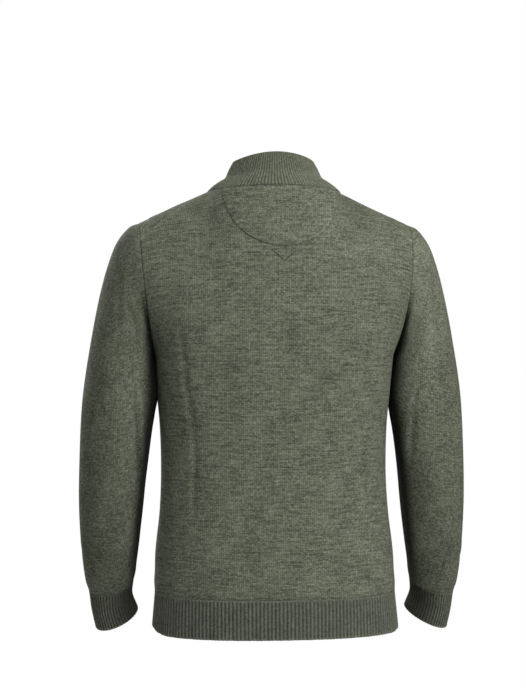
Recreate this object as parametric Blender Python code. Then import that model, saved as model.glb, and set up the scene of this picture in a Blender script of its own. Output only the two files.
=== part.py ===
"""A worn cable knit zip cardigan, as the pieces that a maker knits and sews together.

Metres, +Z up. The origin is at the base of the neck, level with the back neck seam. The open front with its
zip faces -Y, and the wearer's left side is +X. Each piece is one closed wall of cloth. Pieces that are sewn
to each other share their seam line and stand SEAM_GAP apart there.
"""

import math
from collections import namedtuple

import bmesh
import bpy
import numpy as np
from mathutils import Matrix, Vector

# The whole garment leans a little to the wearer's right below the underarm, by SWAY at SWAY_DROP below it.
SWAY = 0.0035
SWAY_DROP = 0.400

# Walls and gaps.
SEAM_GAP = 0.0003
KNIT_WALL = 0.0028
RIB_WALL = 0.0030
RIB_PROUD = 0.0003
COLLAR_WALL = 0.0036
COLLAR_PROUD = 0.0007
PATCH_WALL = 0.0012
PATCH_LIFT = 0.0009

# The front opening, and the grids that the pieces are built on.
ZIP_GAP_HALF = 0.0055
SIDE_COLUMNS = 9
NECK_COLUMNS = 5
NECK_SHARE = NECK_COLUMNS / SIDE_COLUMNS
YOKE_ROWS = 12
LEVEL_ROWS = 7
HEM_ROWS = 2
ARMHOLE = (slice(-1 - YOKE_ROWS, None), -1)
NECK_EDGE = (-1, slice(0, NECK_COLUMNS + 1))
COLLAR_BACK = (0, slice(0, NECK_COLUMNS + 1))
COLLAR_FRONT = (0, slice(-1, -2 - NECK_COLUMNS, -1))
SAME_POINT = 1e-6
SAME_ROW = 0.002
SHARP_ANGLE = math.radians(40)
SLEEVE_COLUMNS = 2 * YOKE_ROWS

# The body below the underarm, in level sections from the hem up. Depths are from the plane of the side seams.
TorsoRing = namedtuple("TorsoRing", "z half_width front back squareness")
TORSO = (
    TorsoRing(-0.658, 0.1845, 0.118, 0.1205, 2.38),
    TorsoRing(-0.630, 0.1820, 0.120, 0.1235, 2.38),
    TorsoRing(-0.601, 0.1795, 0.121, 0.1250, 2.38),
    TorsoRing(-0.550, 0.1780, 0.119, 0.1200, 2.38),
    TorsoRing(-0.482, 0.1710, 0.116, 0.1110, 2.38),
    TorsoRing(-0.412, 0.1685, 0.115, 0.1070, 2.38),
    TorsoRing(-0.351, 0.1700, 0.118, 0.1090, 2.60),
    TorsoRing(-0.300, 0.1745, 0.123, 0.1140, 2.95),
    TorsoRing(-0.250, 0.1780, 0.128, 0.1195, 3.20),
)
HEM_TOP = -0.601
UNDERARM = -0.250
SECTION_STEPS = 721

# The yoke climbs evenly over STEADY_CLIMB of its height, and slowly at both ends over the rest.
YOKE_TOP_SQUARENESS = 2.7
STEADY_CLIMB = 0.35

# The two faces of the body, and how steeply each one climbs to the shoulder seam.
BACK_FACE = 1
FRONT_FACE = -1
SHOULDER_SLOPE = {BACK_FACE: math.radians(18), FRONT_FACE: math.radians(0)}
SHOULDER_ROUNDNESS = 0.75
SHOULDER_STARTS = 0.1

# Under the arm a panel and its sleeve fold apart, from FOLD_STARTS on, and wholly past FOLD_ENDS.
FOLD_STARTS = 0.15
FOLD_ENDS = 0.5
MITRE_LIFT = 0.5

# The centre lines above the underarm.
LinePoint = namedtuple("LinePoint", "z depth")
BACK_LINE = (
    LinePoint(-0.200, 0.1235),
    LinePoint(-0.150, 0.1245),
    LinePoint(-0.100, 0.1205),
    LinePoint(-0.050, 0.1085),
    LinePoint(0.000, 0.0860),
)
FRONT_LINE = (
    LinePoint(-0.200, 0.1295),
    LinePoint(-0.150, 0.1245),
    LinePoint(-0.110, 0.1090),
    LinePoint(-0.078, 0.0840),
)

# The collar in rings from the neck seam up. Its first ring is the neck seam itself.
CollarRing = namedtuple("CollarRing", "side_x side_y side_z back_y back_z front_y front_z")
COLLAR = (
    CollarRing(0.0995, 0.0120, -0.0060, 0.0860, 0.0000, -0.0840, -0.0780),
    CollarRing(0.0905, 0.0105, 0.0025, 0.0785, 0.0085, -0.0805, -0.0665),
    CollarRing(0.0805, 0.0090, 0.0095, 0.0715, 0.0165, -0.0775, -0.0545),
    CollarRing(0.0722, 0.0080, 0.0150, 0.0665, 0.0255, -0.0750, -0.0423),
    CollarRing(0.0665, 0.0060, 0.0272, 0.0620, 0.0380, -0.0725, -0.0301),
    CollarRing(0.0602, 0.0040, 0.0390, 0.0580, 0.0500, -0.0700, -0.0179),
)

# The sleeve in rings from the armhole seam to the cuff's mouth. Each ring runs from the inner point, next to
# the body, to the outer point. drop is how far the ring's back sinks for its depth, bulge moves its middle
# outward, and lean moves its outer point back.
SleeveRing = namedtuple("SleeveRing", "in_x in_z out_x out_z mid_y half_depth drop bulge lean")
SLEEVE = (
    SleeveRing(0.1780, -0.2500, 0.2025, -0.0540, 0.000, 0.0680, 0.00, 0.006, 0.012),
    SleeveRing(0.1784, -0.2535, 0.2170, -0.0605, 0.000, 0.0685, 0.00, 0.004, 0.009),
    SleeveRing(0.1787, -0.2575, 0.2350, -0.0830, 0.000, 0.0690, 0.00, 0.002, 0.004),
    SleeveRing(0.1790, -0.2620, 0.2480, -0.1180, 0.000, 0.0695, 0.00, 0.001, 0.001),
    SleeveRing(0.1790, -0.2670, 0.2580, -0.1580, 0.000, 0.0700, 0.00, 0.000, 0.000),
    SleeveRing(0.1786, -0.2735, 0.2670, -0.2010, 0.001, 0.0700, 0.00, 0.000, 0.000),
    SleeveRing(0.1776, -0.2830, 0.2745, -0.2420, 0.001, 0.0690, 0.00, 0.000, 0.000),
    SleeveRing(0.1758, -0.2990, 0.2805, -0.2800, 0.002, 0.0670, 0.00, 0.000, 0.000),
    SleeveRing(0.1762, -0.3250, 0.2855, -0.3200, 0.002, 0.0640, 0.00, 0.000, 0.000),
    SleeveRing(0.1825, -0.3650, 0.2890, -0.3680, 0.001, 0.0605, 0.02, 0.000, 0.000),
    SleeveRing(0.1885, -0.4150, 0.2905, -0.4200, -0.002, 0.0570, 0.05, 0.000, 0.000),
    SleeveRing(0.1945, -0.4700, 0.2905, -0.4770, -0.007, 0.0525, 0.10, 0.000, 0.000),
    SleeveRing(0.2010, -0.5220, 0.2885, -0.5300, -0.013, 0.0480, 0.17, 0.000, 0.000),
    SleeveRing(0.2072, -0.5630, 0.2840, -0.5735, -0.020, 0.0425, 0.23, 0.000, 0.000),
    SleeveRing(0.2108, -0.5870, 0.2772, -0.6005, -0.025, 0.0385, 0.25, 0.000, 0.000),
    SleeveRing(0.2120, -0.6070, 0.2735, -0.6290, -0.030, 0.0378, 0.26, 0.000, 0.000),
    SleeveRing(0.2040, -0.6290, 0.2680, -0.6560, -0.034, 0.0378, 0.26, 0.000, 0.000),
)
CUFF_RING = 14

# The half-moon patch below the back of the collar. Its sides are PATCH_SIDE of the back's half width out and
# run straight down to PATCH_STRAIGHT_TO. Its curved edge drops PATCH_DROP below that.
PATCH_SIDE = 7 / 18
PATCH_STRAIGHT_TO = -0.020
PATCH_DROP = 0.0705
PATCH_ROWS = 5
PATCH_EDGE_STEPS = 200
PATCH_LEAST_STEP = 0.004
PATCH_TOP_MARGIN = 0.03

# The zip, in depths below the cloth's outer face at the centre front.
TAPE_EDGE = 0.00305
TAPE_WIDTH = 0.0100
TAPE_DEPTH = 0.0033
TAPE_WALL = 0.0010
CHAIN_HALF_WIDTH = 0.00275
CHAIN_HALF_WALL = 0.0012
CHAIN_DEPTH = 0.0038
TAPE_TOP_MARGIN = 0.0030
BOX_SIZE = Vector((0.0096, 0.0046, 0.0100))
BOX_BOTTOM = -0.6565
STOP_SIZE = Vector((0.0018, 0.0030, 0.0012))
STOP_MARGIN = 0.0010

# The slider and its pull tab, in the slider's own frame: X across, Y up along the zip, Z away from the body.
SLIDER_Z = -0.0330
SLIDER_HALF_LENGTH = 0.0060
SLIDER_HALF_WIDTH = 0.0046
SLIDER_CORNER = 0.0014
CORNER_STEPS = 3
ARCH_STEPS = 10
PLATE_WALL = 0.0012
PLATE_CLEARANCE = 0.0003
POST_SIZE = Vector((0.0036, 0.0030, 0.0044))
BRIDGE_INNER = 0.0015
BRIDGE_OUTER = 0.0025
BRIDGE_WIDTH = 0.0024
HINGE_HEIGHT = 0.0044
PULL_WALL = 0.0014
PULL_HALF_WIDTH = 0.0034
PULL_LENGTH = 0.0270
PULL_HEAD = 0.0012
PULL_CORNER = 0.0010
EYE_HALF_WIDTH = 0.0018
EYE_TOP = 0.00075
EYE_BOTTOM = 0.0034


def column(table, name):
    """One named column of a table as an array."""
    return np.array([getattr(row, name) for row in table])


def spline(at, knots, values):
    """A smooth curve through the values, with each knot's slope taken from its neighbours."""
    slopes = np.gradient(values, knots)
    at = np.clip(at, knots[0], knots[-1])
    cell = np.clip(np.searchsorted(knots, at, side="right") - 1, 0, len(knots) - 2)
    width = knots[cell + 1] - knots[cell]
    t = (at - knots[cell]) / width
    start = (2 * t**3 - 3 * t**2 + 1) * values[cell] + (t**3 - 2 * t**2 + t) * width * slopes[cell]
    end = (3 * t**2 - 2 * t**3) * values[cell + 1] + (t**3 - t**2) * width * slopes[cell + 1]
    return start + end


def unit(vectors):
    """Vectors of length one, along the last axis."""
    return vectors / np.linalg.norm(vectors, axis=-1, keepdims=True)


def smooth_step(value, low, high):
    """0 below low, 1 above high, and a smooth rise between them."""
    t = np.clip((value - low) / (high - low), 0.0, 1.0)
    return t * t * (3 - 2 * t)


def centre_depth(z, face):
    """How far the centre back or centre front lies from the plane of the side seams, at a height."""
    name, line = ("back", BACK_LINE) if face == BACK_FACE else ("front", FRONT_LINE)
    knots = np.concatenate([column(TORSO, "z"), column(line, "z")])
    depths = np.concatenate([column(TORSO, name), column(line, "depth")])
    return spline(z, knots, depths)


def quarter_section(half_width, depth, end_depth, squareness, shares):
    """A squarish quarter oval from its centre line out to end_depth, at shares of its length."""
    power = 2 / squareness
    end_turn = math.asin(min(1.0, (end_depth / depth) ** (1 / power)))
    turn = np.linspace(math.pi / 2, end_turn, SECTION_STEPS)
    across = half_width * np.abs(np.cos(turn)) ** power
    out = depth * np.abs(np.sin(turn)) ** power
    length = np.concatenate([[0.0], np.cumsum(np.hypot(np.diff(across), np.diff(out)))])
    at = shares * length[-1]
    return np.interp(at, length, across), np.interp(at, length, out)


def collar_point(ring, turn, face):
    """A point of a collar ring, from its centre line at turn 0 to its side at a quarter turn."""
    centre_y, centre_z = (ring.back_y, ring.back_z) if face == BACK_FACE else (ring.front_y, ring.front_z)
    x = ring.side_x * np.sin(turn)
    y = ring.side_y + (centre_y - ring.side_y) * np.cos(turn)
    z = ring.side_z + (centre_z - ring.side_z) * np.cos(turn) ** 2
    return np.stack([x, y, z], axis=-1)


def sleeve_ring(ring, turn):
    """Points of a sleeve ring. Turn 0 is the inner point, half a turn the outer one, and the back between."""
    share = (1 - np.cos(turn)) / 2
    out = ring.half_depth * np.sin(turn)
    x = ring.in_x + (ring.out_x - ring.in_x) * share + ring.bulge * np.sin(turn) ** 2
    y = ring.mid_y + out + ring.lean * share
    z = ring.in_z + (ring.out_z - ring.in_z) * share - ring.drop * out
    return np.stack([x, y, z], axis=-1)


def armhole_point(rise, face):
    """The armhole seam from the underarm at rise 0 to the shoulder point at rise 1."""
    return sleeve_ring(SLEEVE[0], face * math.pi * rise)


def top_edge(shares, face):
    """The panel's upper edge: the neck seam out to the side of the neck, then the shoulder seam."""
    turn = np.clip(shares / NECK_SHARE, 0.0, 1.0) * math.pi / 2
    neck = collar_point(COLLAR[0], turn, face)
    out = np.clip((shares - NECK_SHARE) / (1 - NECK_SHARE), 0.0, 1.0)[:, None]
    return neck + out * (armhole_point(1.0, face) - neck)


def level_row(z, shares, face):
    """A row of half a panel below the underarm."""
    heights = column(TORSO, "z")
    half_width = spline(z, heights, column(TORSO, "half_width"))
    squareness = spline(z, heights, column(TORSO, "squareness"))
    x, out = quarter_section(half_width, centre_depth(z, face), 0.0, squareness, shares)
    return np.stack([x, face * out, np.full_like(x, z)], axis=-1)


def yoke_section(rise, shares, face):
    """A near level row of half the yoke, from the centre line out to the armhole."""
    arm = armhole_point(rise, face)
    top = COLLAR[0].back_z if face == BACK_FACE else COLLAR[0].front_z
    eased_rise = (1 - math.cos(math.pi * rise)) / 2
    climb = STEADY_CLIMB * rise + (1 - STEADY_CLIMB) * eased_rise
    centre_z = UNDERARM + (top - UNDERARM) * climb
    seam_y = SLEEVE[0].lean * eased_rise
    depth = centre_depth(centre_z, face) - face * seam_y
    end_depth = abs(arm[1] - seam_y)
    squareness = TORSO[-1].squareness + (YOKE_TOP_SQUARENESS - TORSO[-1].squareness) * rise
    half_width = arm[0] / (1 - (end_depth / depth) ** squareness) ** (1 / squareness)
    x, out = quarter_section(half_width, depth, end_depth, squareness, shares)
    z = arm[2] + (centre_z - arm[2]) * np.cos(shares * math.pi / 2) ** 2
    return np.stack([x, seam_y + face * out, z], axis=-1)


def yoke_row(rise, shares, face):
    """A row of half the yoke, blended from the level section below into the neck and shoulder edge above."""
    edge_slope = SHOULDER_SLOPE[face]
    section = yoke_section(rise, shares, face)
    edge = top_edge(shares, face)
    share = rise**3
    row = section + share * (edge - section)
    # Near the shoulder seam the cloth climbs only at edge_slope, so that it rounds over the shoulder.
    climb = 3 * (edge - yoke_section(1.0, shares, face))
    heading = np.array([0.0, -face * math.cos(edge_slope), math.sin(edge_slope)])
    wanted = SHOULDER_ROUNDNESS * np.linalg.norm(climb, axis=-1, keepdims=True) * heading
    near_shoulder = smooth_step(shares, SHOULDER_STARTS, NECK_SHARE)[:, None]
    row = row - near_shoulder * (wanted - climb) * (1 - rise) * rise**4
    # The row's two ends lie exactly on the centre line and on the armhole.
    to_centre = section[0] - row[0]
    to_arm = armhole_point(rise, face) - row[-1]
    return row + (1 - shares[:, None]) ** 3 * to_centre + shares[:, None] ** 3 * to_arm


def half_panel(face, centre_gap=0.0):
    """The outer face of half a panel as rows of points, from the hem rib up to the neck and shoulder."""
    shares = np.linspace(0.0, 1.0, SIDE_COLUMNS + 1)
    levels = np.linspace(HEM_TOP, UNDERARM, LEVEL_ROWS + 1)[:-1]
    rises = np.linspace(0.0, 1.0, YOKE_ROWS + 1)
    rows = [level_row(z, shares, face) for z in levels]
    rows += [yoke_row(rise, shares, face) for rise in rises]
    grid = np.array(rows)
    grid[..., 0] += centre_gap * (1 - shares) ** 2
    return grid


def half_hem(face, centre_gap=0.0):
    """The outer face of half the hem rib, from its lower edge up to the panel."""
    shares = np.linspace(0.0, 1.0, SIDE_COLUMNS + 1)
    heights = np.linspace(TORSO[0].z, HEM_TOP, HEM_ROWS + 1)
    grid = np.array([level_row(z, shares, face) for z in heights])
    grid[..., 0] += centre_gap * (1 - shares) ** 2
    return grid


def half_collar():
    """The outer face of the collar's left half, from the centre back round to the front edge."""
    turn = np.linspace(0.0, math.pi / 2, NECK_COLUMNS + 1)
    rows = []
    for ring in COLLAR:
        back = collar_point(ring, turn, BACK_FACE)
        front = collar_point(ring, turn, FRONT_FACE)
        front[:, 0] += ZIP_GAP_HALF * (1 - turn / (math.pi / 2)) ** 2
        rows.append(np.concatenate([back, front[-2::-1]]))
    return np.array(rows)


def sleeve_grid(first, last):
    """The left sleeve's outer face in closed rings, from one table row to another."""
    turn = np.linspace(0.0, 2 * math.pi, SLEEVE_COLUMNS, endpoint=False)
    return np.array([sleeve_ring(ring, turn) for ring in SLEEVE[first : last + 1]])


def mirrored(grid):
    """The same points or directions for the wearer's right side."""
    return grid * np.array([-1.0, 1.0, 1.0])


def whole_width(half):
    """A half grid joined with its mirror image across the centre plane."""
    return np.concatenate([mirrored(half[:, :0:-1]), half], axis=1)


def outward(grid, around, centres):
    """Unit normals from a grid's steps around it and up it, turned to point away from the centres."""
    normals = unit(np.cross(around, np.gradient(grid, axis=0)))
    return normals * np.sign(((grid - centres) * normals).sum())


def open_normals(grid):
    """The outward normals of a grid that wraps round the body with open edges."""
    return outward(grid, np.gradient(grid, axis=1), grid * np.array([0.0, 0.0, 1.0]))


def half_normals(half):
    """The outward normals of a half grid whose first column is the centre back."""
    return open_normals(whole_width(half))[:, half.shape[1] - 1 :]


def tube_normals(grid):
    """The outward normals of a grid whose columns meet round a tube."""
    around = np.roll(grid, -1, axis=1) - np.roll(grid, 1, axis=1)
    return outward(grid, around, grid.mean(axis=1, keepdims=True))


def share_normals(first, first_at, second, second_at):
    """Gives two pieces one common set of normals along the seam where they meet."""
    common = unit(first[first_at] + second[second_at])
    first[first_at] = common
    second[second_at] = common


def join_armhole(panel, sleeve, face):
    """Turns the walls of a panel and a sleeve along the armhole. They share a mitre where the cloth runs on,
    and each keeps to its own side where it folds under the arm."""
    rises = np.arange(YOKE_ROWS + 1)
    ring = sleeve_ring(SLEEVE[0], face * math.pi * rises / YOKE_ROWS)
    middle = (ring[0] + ring[-1]) / 2
    radial = unit((ring - middle) * np.array([0.0, 1.0, 1.0]))
    sleeve_at = (0, (face * rises) % SLEEVE_COLUMNS)
    from_panel, from_sleeve = panel[ARMHOLE], sleeve[sleeve_at]
    fold = (1 - (from_panel * from_sleeve).sum(axis=-1, keepdims=True)) / 2
    apart = smooth_step(fold, FOLD_STARTS, FOLD_ENDS)
    common = unit(from_panel + from_sleeve + MITRE_LIFT * radial)
    panel[ARMHOLE] = unit(common * (1 - apart) + unit(from_panel + radial) * apart)
    sleeve[sleeve_at] = unit(common * (1 - apart) + unit(from_sleeve + radial) * apart)


def drawn_back(grid, *edges):
    """How far each point moves back from the seams at the named edges, half the seam gap for each."""
    places = {
        "bottom": ((0, slice(None)), (1, slice(None))),
        "top": ((-1, slice(None)), (-2, slice(None))),
        "end": ((slice(None), -1), (slice(None), -2)),
        "side seam": ((slice(0, -YOKE_ROWS), -1), (slice(0, -YOKE_ROWS), -2)),
        "shoulder": ((-1, slice(NECK_COLUMNS, None)), (-2, slice(NECK_COLUMNS, None))),
    }
    moves = np.zeros_like(grid)
    for edge, inside in (places[name] for name in edges):
        moves[edge] += unit(grid[inside] - grid[edge]) * SEAM_GAP / 2
    return moves


def drawn_panel(grid, collar_moves):
    """The same for half a panel. Its armhole edge moves straight in from the sleeve, and its neck edge moves
    against the collar's."""
    moves = drawn_back(grid, "bottom", "shoulder", "side seam")
    moves[ARMHOLE] -= np.array([SEAM_GAP / 2, 0.0, 0.0])
    moves[NECK_EDGE] -= collar_moves
    return moves


def drawn_sleeve(grid):
    """The same for the left sleeve, whose first ring moves straight out from the body."""
    moves = drawn_back(grid, "top")
    moves[0] += np.array([SEAM_GAP / 2, 0.0, 0.0])
    return moves


def material(name, colour, roughness, metallic=0.0):
    """A plain Principled material. colour is linear red, green and blue."""
    made = bpy.data.materials.new(name)
    made.use_nodes = True
    shader = made.node_tree.nodes["Principled BSDF"]
    shader.inputs["Base Color"].default_value = (*colour, 1.0)
    shader.inputs["Roughness"].default_value = roughness
    shader.inputs["Metallic"].default_value = metallic
    made.diffuse_color = (*colour, 1.0)
    return made


def add_object(name, build, look, parent=None):
    """Turns a bmesh into a named object in its parent's frame."""
    bmesh.ops.recalc_face_normals(build, faces=build.faces)
    mesh = bpy.data.meshes.new(name)
    build.to_mesh(mesh)
    build.free()
    if look is not None:
        mesh.materials.append(look)
    made = bpy.data.objects.new(name, mesh)
    bpy.context.scene.collection.objects.link(made)
    made.parent = parent
    return made


def rim_faces(build, near, far, near_under, far_under):
    """Two triangles across a wall's edge. The diagonal follows from the place alone, so that the rims on both
    sides of a seam have the same slant."""
    keys = [corner.co.z + 2 * abs(corner.co.x) + 3 * abs(corner.co.y) for corner in (near, far)]
    if keys[0] > keys[1]:
        build.faces.new((near, far, far_under))
        build.faces.new((near, far_under, near_under))
    else:
        build.faces.new((near, far, near_under))
        build.faces.new((far, far_under, near_under))


def swayed(grid):
    """The points moved aside as the garment leans."""
    below = np.clip((UNDERARM - grid[..., 2:]) / SWAY_DROP, 0.0, None)
    return grid - SWAY * below**2 * np.array([1.0, 0.0, 0.0])


def wall_between(name, outer, inner, look, closed=False):
    """One closed wall of cloth between two grids of points, with a rim along its open edges."""
    outer, inner = swayed(outer), swayed(inner)
    build = bmesh.new()
    layers = [[[build.verts.new(point) for point in row] for row in grid] for grid in (outer, inner)]
    rows, columns = outer.shape[:2]
    steps = [(j, (j + 1) % columns) for j in range(columns if closed else columns - 1)]
    for layer in layers:
        for lower, upper in zip(layer, layer[1:]):
            for j, k in steps:
                build.faces.new((lower[j], lower[k], upper[k], upper[j]))
    over, under = layers
    for i in (0, rows - 1):
        for j, k in steps:
            rim_faces(build, over[i][j], over[i][k], under[i][j], under[i][k])
    if not closed:
        for j in (0, columns - 1):
            for i in range(rows - 1):
                rim_faces(build, over[i][j], over[i + 1][j], under[i][j], under[i + 1][j])
    bmesh.ops.remove_doubles(build, verts=build.verts, dist=SAME_POINT)
    made = add_object(name, build, look)
    made.data.shade_smooth()
    made.data.set_sharp_from_angle(angle=SHARP_ANGLE)
    return made


def by_row(value, grid, seam_row, seam_value):
    """One value for each row of a grid, with its own value in the row at the seam."""
    values = np.full((grid.shape[0], 1, 1), value)
    if seam_row is not None:
        values[seam_row] = seam_value
    return values


def cloth_piece(name, grid, normals, moves, wall, look, closed=False, proud=0.0, seam_row=None):
    """A piece of cloth from its outer face, its normals and its moves back from its seams. In seam_row a
    thicker piece is as thick as the knit that it is sewn to."""
    outer = grid + by_row(proud, grid, seam_row, 0.0) * normals + moves
    inner = outer - by_row(wall, grid, seam_row, KNIT_WALL) * normals
    return wall_between(name, outer, inner, look, closed)


def make_pairs(name, grid, normals, moves, wall, look, **options):
    """A piece for the wearer's left side and its mirror image for the right."""
    cloth_piece(f"{name}_left", grid, normals, moves, wall, look, **options)
    right = (mirrored(part) for part in (grid, normals, moves))
    cloth_piece(f"{name}_right", *right, wall, look, **options)


def make_cloth(knit, rib):
    """The back, fronts, sleeves, collar, hem and cuffs. Returns the back, and the centre front's line."""
    back, front = half_panel(BACK_FACE), half_panel(FRONT_FACE, ZIP_GAP_HALF)
    hem_back, hem_front = half_hem(BACK_FACE), half_hem(FRONT_FACE, ZIP_GAP_HALF)
    collar = half_collar()
    arm = sleeve_grid(0, len(SLEEVE) - 1)

    back_out, front_out = half_normals(back), open_normals(front)
    hem_back_out, hem_front_out = half_normals(hem_back), open_normals(hem_front)
    collar_out, arm_out = half_normals(collar), tube_normals(arm)

    share_normals(back_out, NECK_EDGE, collar_out, COLLAR_BACK)
    share_normals(front_out, NECK_EDGE, collar_out, COLLAR_FRONT)
    join_armhole(back_out, arm_out, BACK_FACE)
    join_armhole(front_out, arm_out, FRONT_FACE)
    side_seam = (slice(0, -YOKE_ROWS), -1)
    shoulder = (-1, slice(NECK_COLUMNS, None))
    for seam in (side_seam, shoulder):
        share_normals(back_out, seam, front_out, seam)
    for panel_out, hem_out in ((back_out, hem_back_out), (front_out, hem_front_out)):
        share_normals(panel_out, 0, hem_out, -1)
    hem_side = (slice(None), -1)
    share_normals(hem_back_out, hem_side, hem_front_out, hem_side)

    collar_moves = drawn_back(collar, "bottom")
    back_moves = drawn_panel(back, collar_moves[COLLAR_BACK])
    front_moves = drawn_panel(front, collar_moves[COLLAR_FRONT])
    wide = [whole_width(part) for part in (back, back_out, back_moves)]
    cloth_piece("back_panel", *wide, KNIT_WALL, knit)
    make_pairs("front", front, front_out, front_moves, KNIT_WALL, knit)
    sleeve, cuff = arm[: CUFF_RING + 1], arm[CUFF_RING:]
    sleeve_out, cuff_out = arm_out[: CUFF_RING + 1], arm_out[CUFF_RING:]
    make_pairs("sleeve", sleeve, sleeve_out, drawn_sleeve(sleeve), KNIT_WALL, knit, closed=True)
    make_pairs("cuff", cuff, cuff_out, drawn_back(cuff, "bottom"), RIB_WALL, rib, closed=True, seam_row=0)

    wide = [whole_width(part) for part in (hem_back, hem_back_out, drawn_back(hem_back, "top", "end"))]
    cloth_piece("hem_back", *wide, RIB_WALL, rib, proud=RIB_PROUD, seam_row=-1)
    moves = drawn_back(hem_front, "top", "end")
    make_pairs("hem_front", hem_front, hem_front_out, moves, RIB_WALL, rib, proud=RIB_PROUD, seam_row=-1)
    wide = [whole_width(part) for part in (collar, collar_out, collar_moves)]
    cloth_piece("collar", *wide, COLLAR_WALL, rib, proud=COLLAR_PROUD, seam_row=0)

    edge, beside = (np.concatenate([hem_front[:, i], front[1:, i], collar[1:, -1 - i]]) for i in (0, 1))
    return back, back_out, FrontLine(edge, beside)


def between(grid, row, share):
    """A point on a half panel's own facets: row counts up its rows, and share runs from its centre line."""
    low_row, low_column = min(int(row), grid.shape[0] - 2), min(int(share * SIDE_COLUMNS), SIDE_COLUMNS - 1)
    up, out = row - low_row, share * SIDE_COLUMNS - low_column
    near, far = grid[low_row : low_row + 2, low_column], grid[low_row : low_row + 2, low_column + 1]
    column_point = near * (1 - out) + far * out
    return column_point[0] * (1 - up) + column_point[1] * up


def patch_lowest_row(back, share):
    """The row of the back, counted up it, where the patch's curved edge crosses a share of its width."""
    drop = PATCH_DROP * math.sqrt(1 - (share / PATCH_SIDE) ** 2)
    rows = range(back.shape[0])
    heights = [between(back, row, share)[2] for row in rows]
    return np.interp(PATCH_STRAIGHT_TO - drop, heights, rows)


def patch_shares(back):
    """Shares of the back's width at its half columns, and where the patch's edge crosses the back's rows."""
    along_edge = PATCH_SIDE * np.sin(np.linspace(0.0, math.pi / 2, PATCH_EDGE_STEPS))
    crossed = [patch_lowest_row(back, share) for share in along_edge]
    rows = range(math.ceil(crossed[0]), math.floor(crossed[-1]) + 1)
    half_columns = np.arange(0.0, PATCH_SIDE, 1 / (2 * SIDE_COLUMNS))
    shares = sorted([*half_columns, PATCH_SIDE, *np.interp(rows, crossed, along_edge)])
    return [share for share, after in zip(shares, [*shares[1:], 1.0]) if after - share > PATCH_LEAST_STEP]


def make_patch(back, back_out, look):
    """The half-moon patch, laid on the back's own facets and hung from the neck seam."""
    top_row = back.shape[0] - 1
    columns = []
    for share in patch_shares(back):
        lowest = patch_lowest_row(back, share)
        rows = [max(row, lowest) for row in range(top_row - PATCH_ROWS, top_row)]
        rows.append(top_row - PATCH_TOP_MARGIN)
        columns.append([(between(back, row, share), between(back_out, row, share)) for row in rows])
    half = np.array(columns).transpose(2, 1, 0, 3)
    points, normals = whole_width(half[0]), unit(whole_width(half[1]))
    inner = points + PATCH_LIFT * normals
    wall_between("neck_patch", inner + PATCH_WALL * normals, inner, look)


class FrontLine:
    """The centre front's outer face, from the hem's lower edge to the collar's upper one."""

    def __init__(self, edge, beside):
        self.y, self.z = edge[:, 1], edge[:, 2]
        along = np.gradient(edge[:, 1:], axis=0)
        self.out = unit(np.stack([-along[:, 1], along[:, 0]], axis=-1))
        self.slant = (beside - edge)[:, 1:] / (beside - edge)[:, :1]

    def at(self, x, z, depth):
        """The point at a place across and a height, moved in from the cloth's own facets by depth."""
        out = unit(np.array([np.interp(z, self.z, self.out[:, i]) for i in (0, 1)]))
        slant = np.array([np.interp(z, self.z, self.slant[:, i]) for i in (0, 1)])
        aside = max(0.0, abs(x) - ZIP_GAP_HALF)
        y, height = np.array([np.interp(z, self.z, self.y), z]) + aside * slant - depth * out
        return x, y, height

    def heights(self, low, high):
        """The line's own corner heights between two heights, and those two."""
        return [low, *(z for z in self.z if low + SAME_ROW < z < high - SAME_ROW), high]


def make_strip(name, line, across, depths, heights, look):
    """A strip down the centre front, through places across it and between two depths."""
    layers = [[[line.at(x, z, depth) for x in across] for z in line.heights(*heights)] for depth in depths]
    return wall_between(name, *(np.array(layer) for layer in layers), look)


def box_shape(size, centre=(0.0, 0.0, 0.0)):
    """A plain block as a bmesh."""
    build = bmesh.new()
    bmesh.ops.create_cube(build, size=1.0, matrix=Matrix.Translation(centre) @ Matrix.Diagonal((*size, 1.0)))
    return build


def extruded(outline, axis, low, high):
    """A flat outline pushed through from low to high along X or Z. The outline holds the other two axes."""
    build = bmesh.new()
    at_low = [Vector((low, *point)) if axis == "X" else Vector((*point, low)) for point in outline]
    face = build.faces.new([build.verts.new(point) for point in at_low])
    grown = bmesh.ops.extrude_face_region(build, geom=[face])
    push = Vector((high - low, 0, 0)) if axis == "X" else Vector((0, 0, high - low))
    far_end = [part for part in grown["geom"] if isinstance(part, bmesh.types.BMVert)]
    bmesh.ops.translate(build, vec=push, verts=far_end)
    return build


def combine(target, name, build, operation):
    """Joins a shape to an object, or cuts it out of it, with a Boolean modifier."""
    tool = add_object(name, build, None, target.parent)
    tool.hide_render = True
    tool.display_type = "WIRE"
    change = target.modifiers.new(name, "BOOLEAN")
    change.operation = operation
    change.object = tool


def arc(centre, radius, start, end, steps):
    """Points round part of a circle, between two angles in degrees."""
    angles = [math.radians(start + (end - start) * i / steps) for i in range(steps + 1)]
    return [(centre[0] + radius * math.cos(a), centre[1] + radius * math.sin(a)) for a in angles]


def plate_outline(half_width, low, high, corner):
    """A plate's outline with four round corners."""
    aside, top, bottom = half_width - corner, high - corner, low + corner
    corners = ((aside, top, 0), (-aside, top, 90), (-aside, bottom, 180), (aside, bottom, 270))
    arcs = (arc((x, y), corner, start, start + 90, CORNER_STEPS) for x, y, start in corners)
    return [point for points in arcs for point in points]


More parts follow.
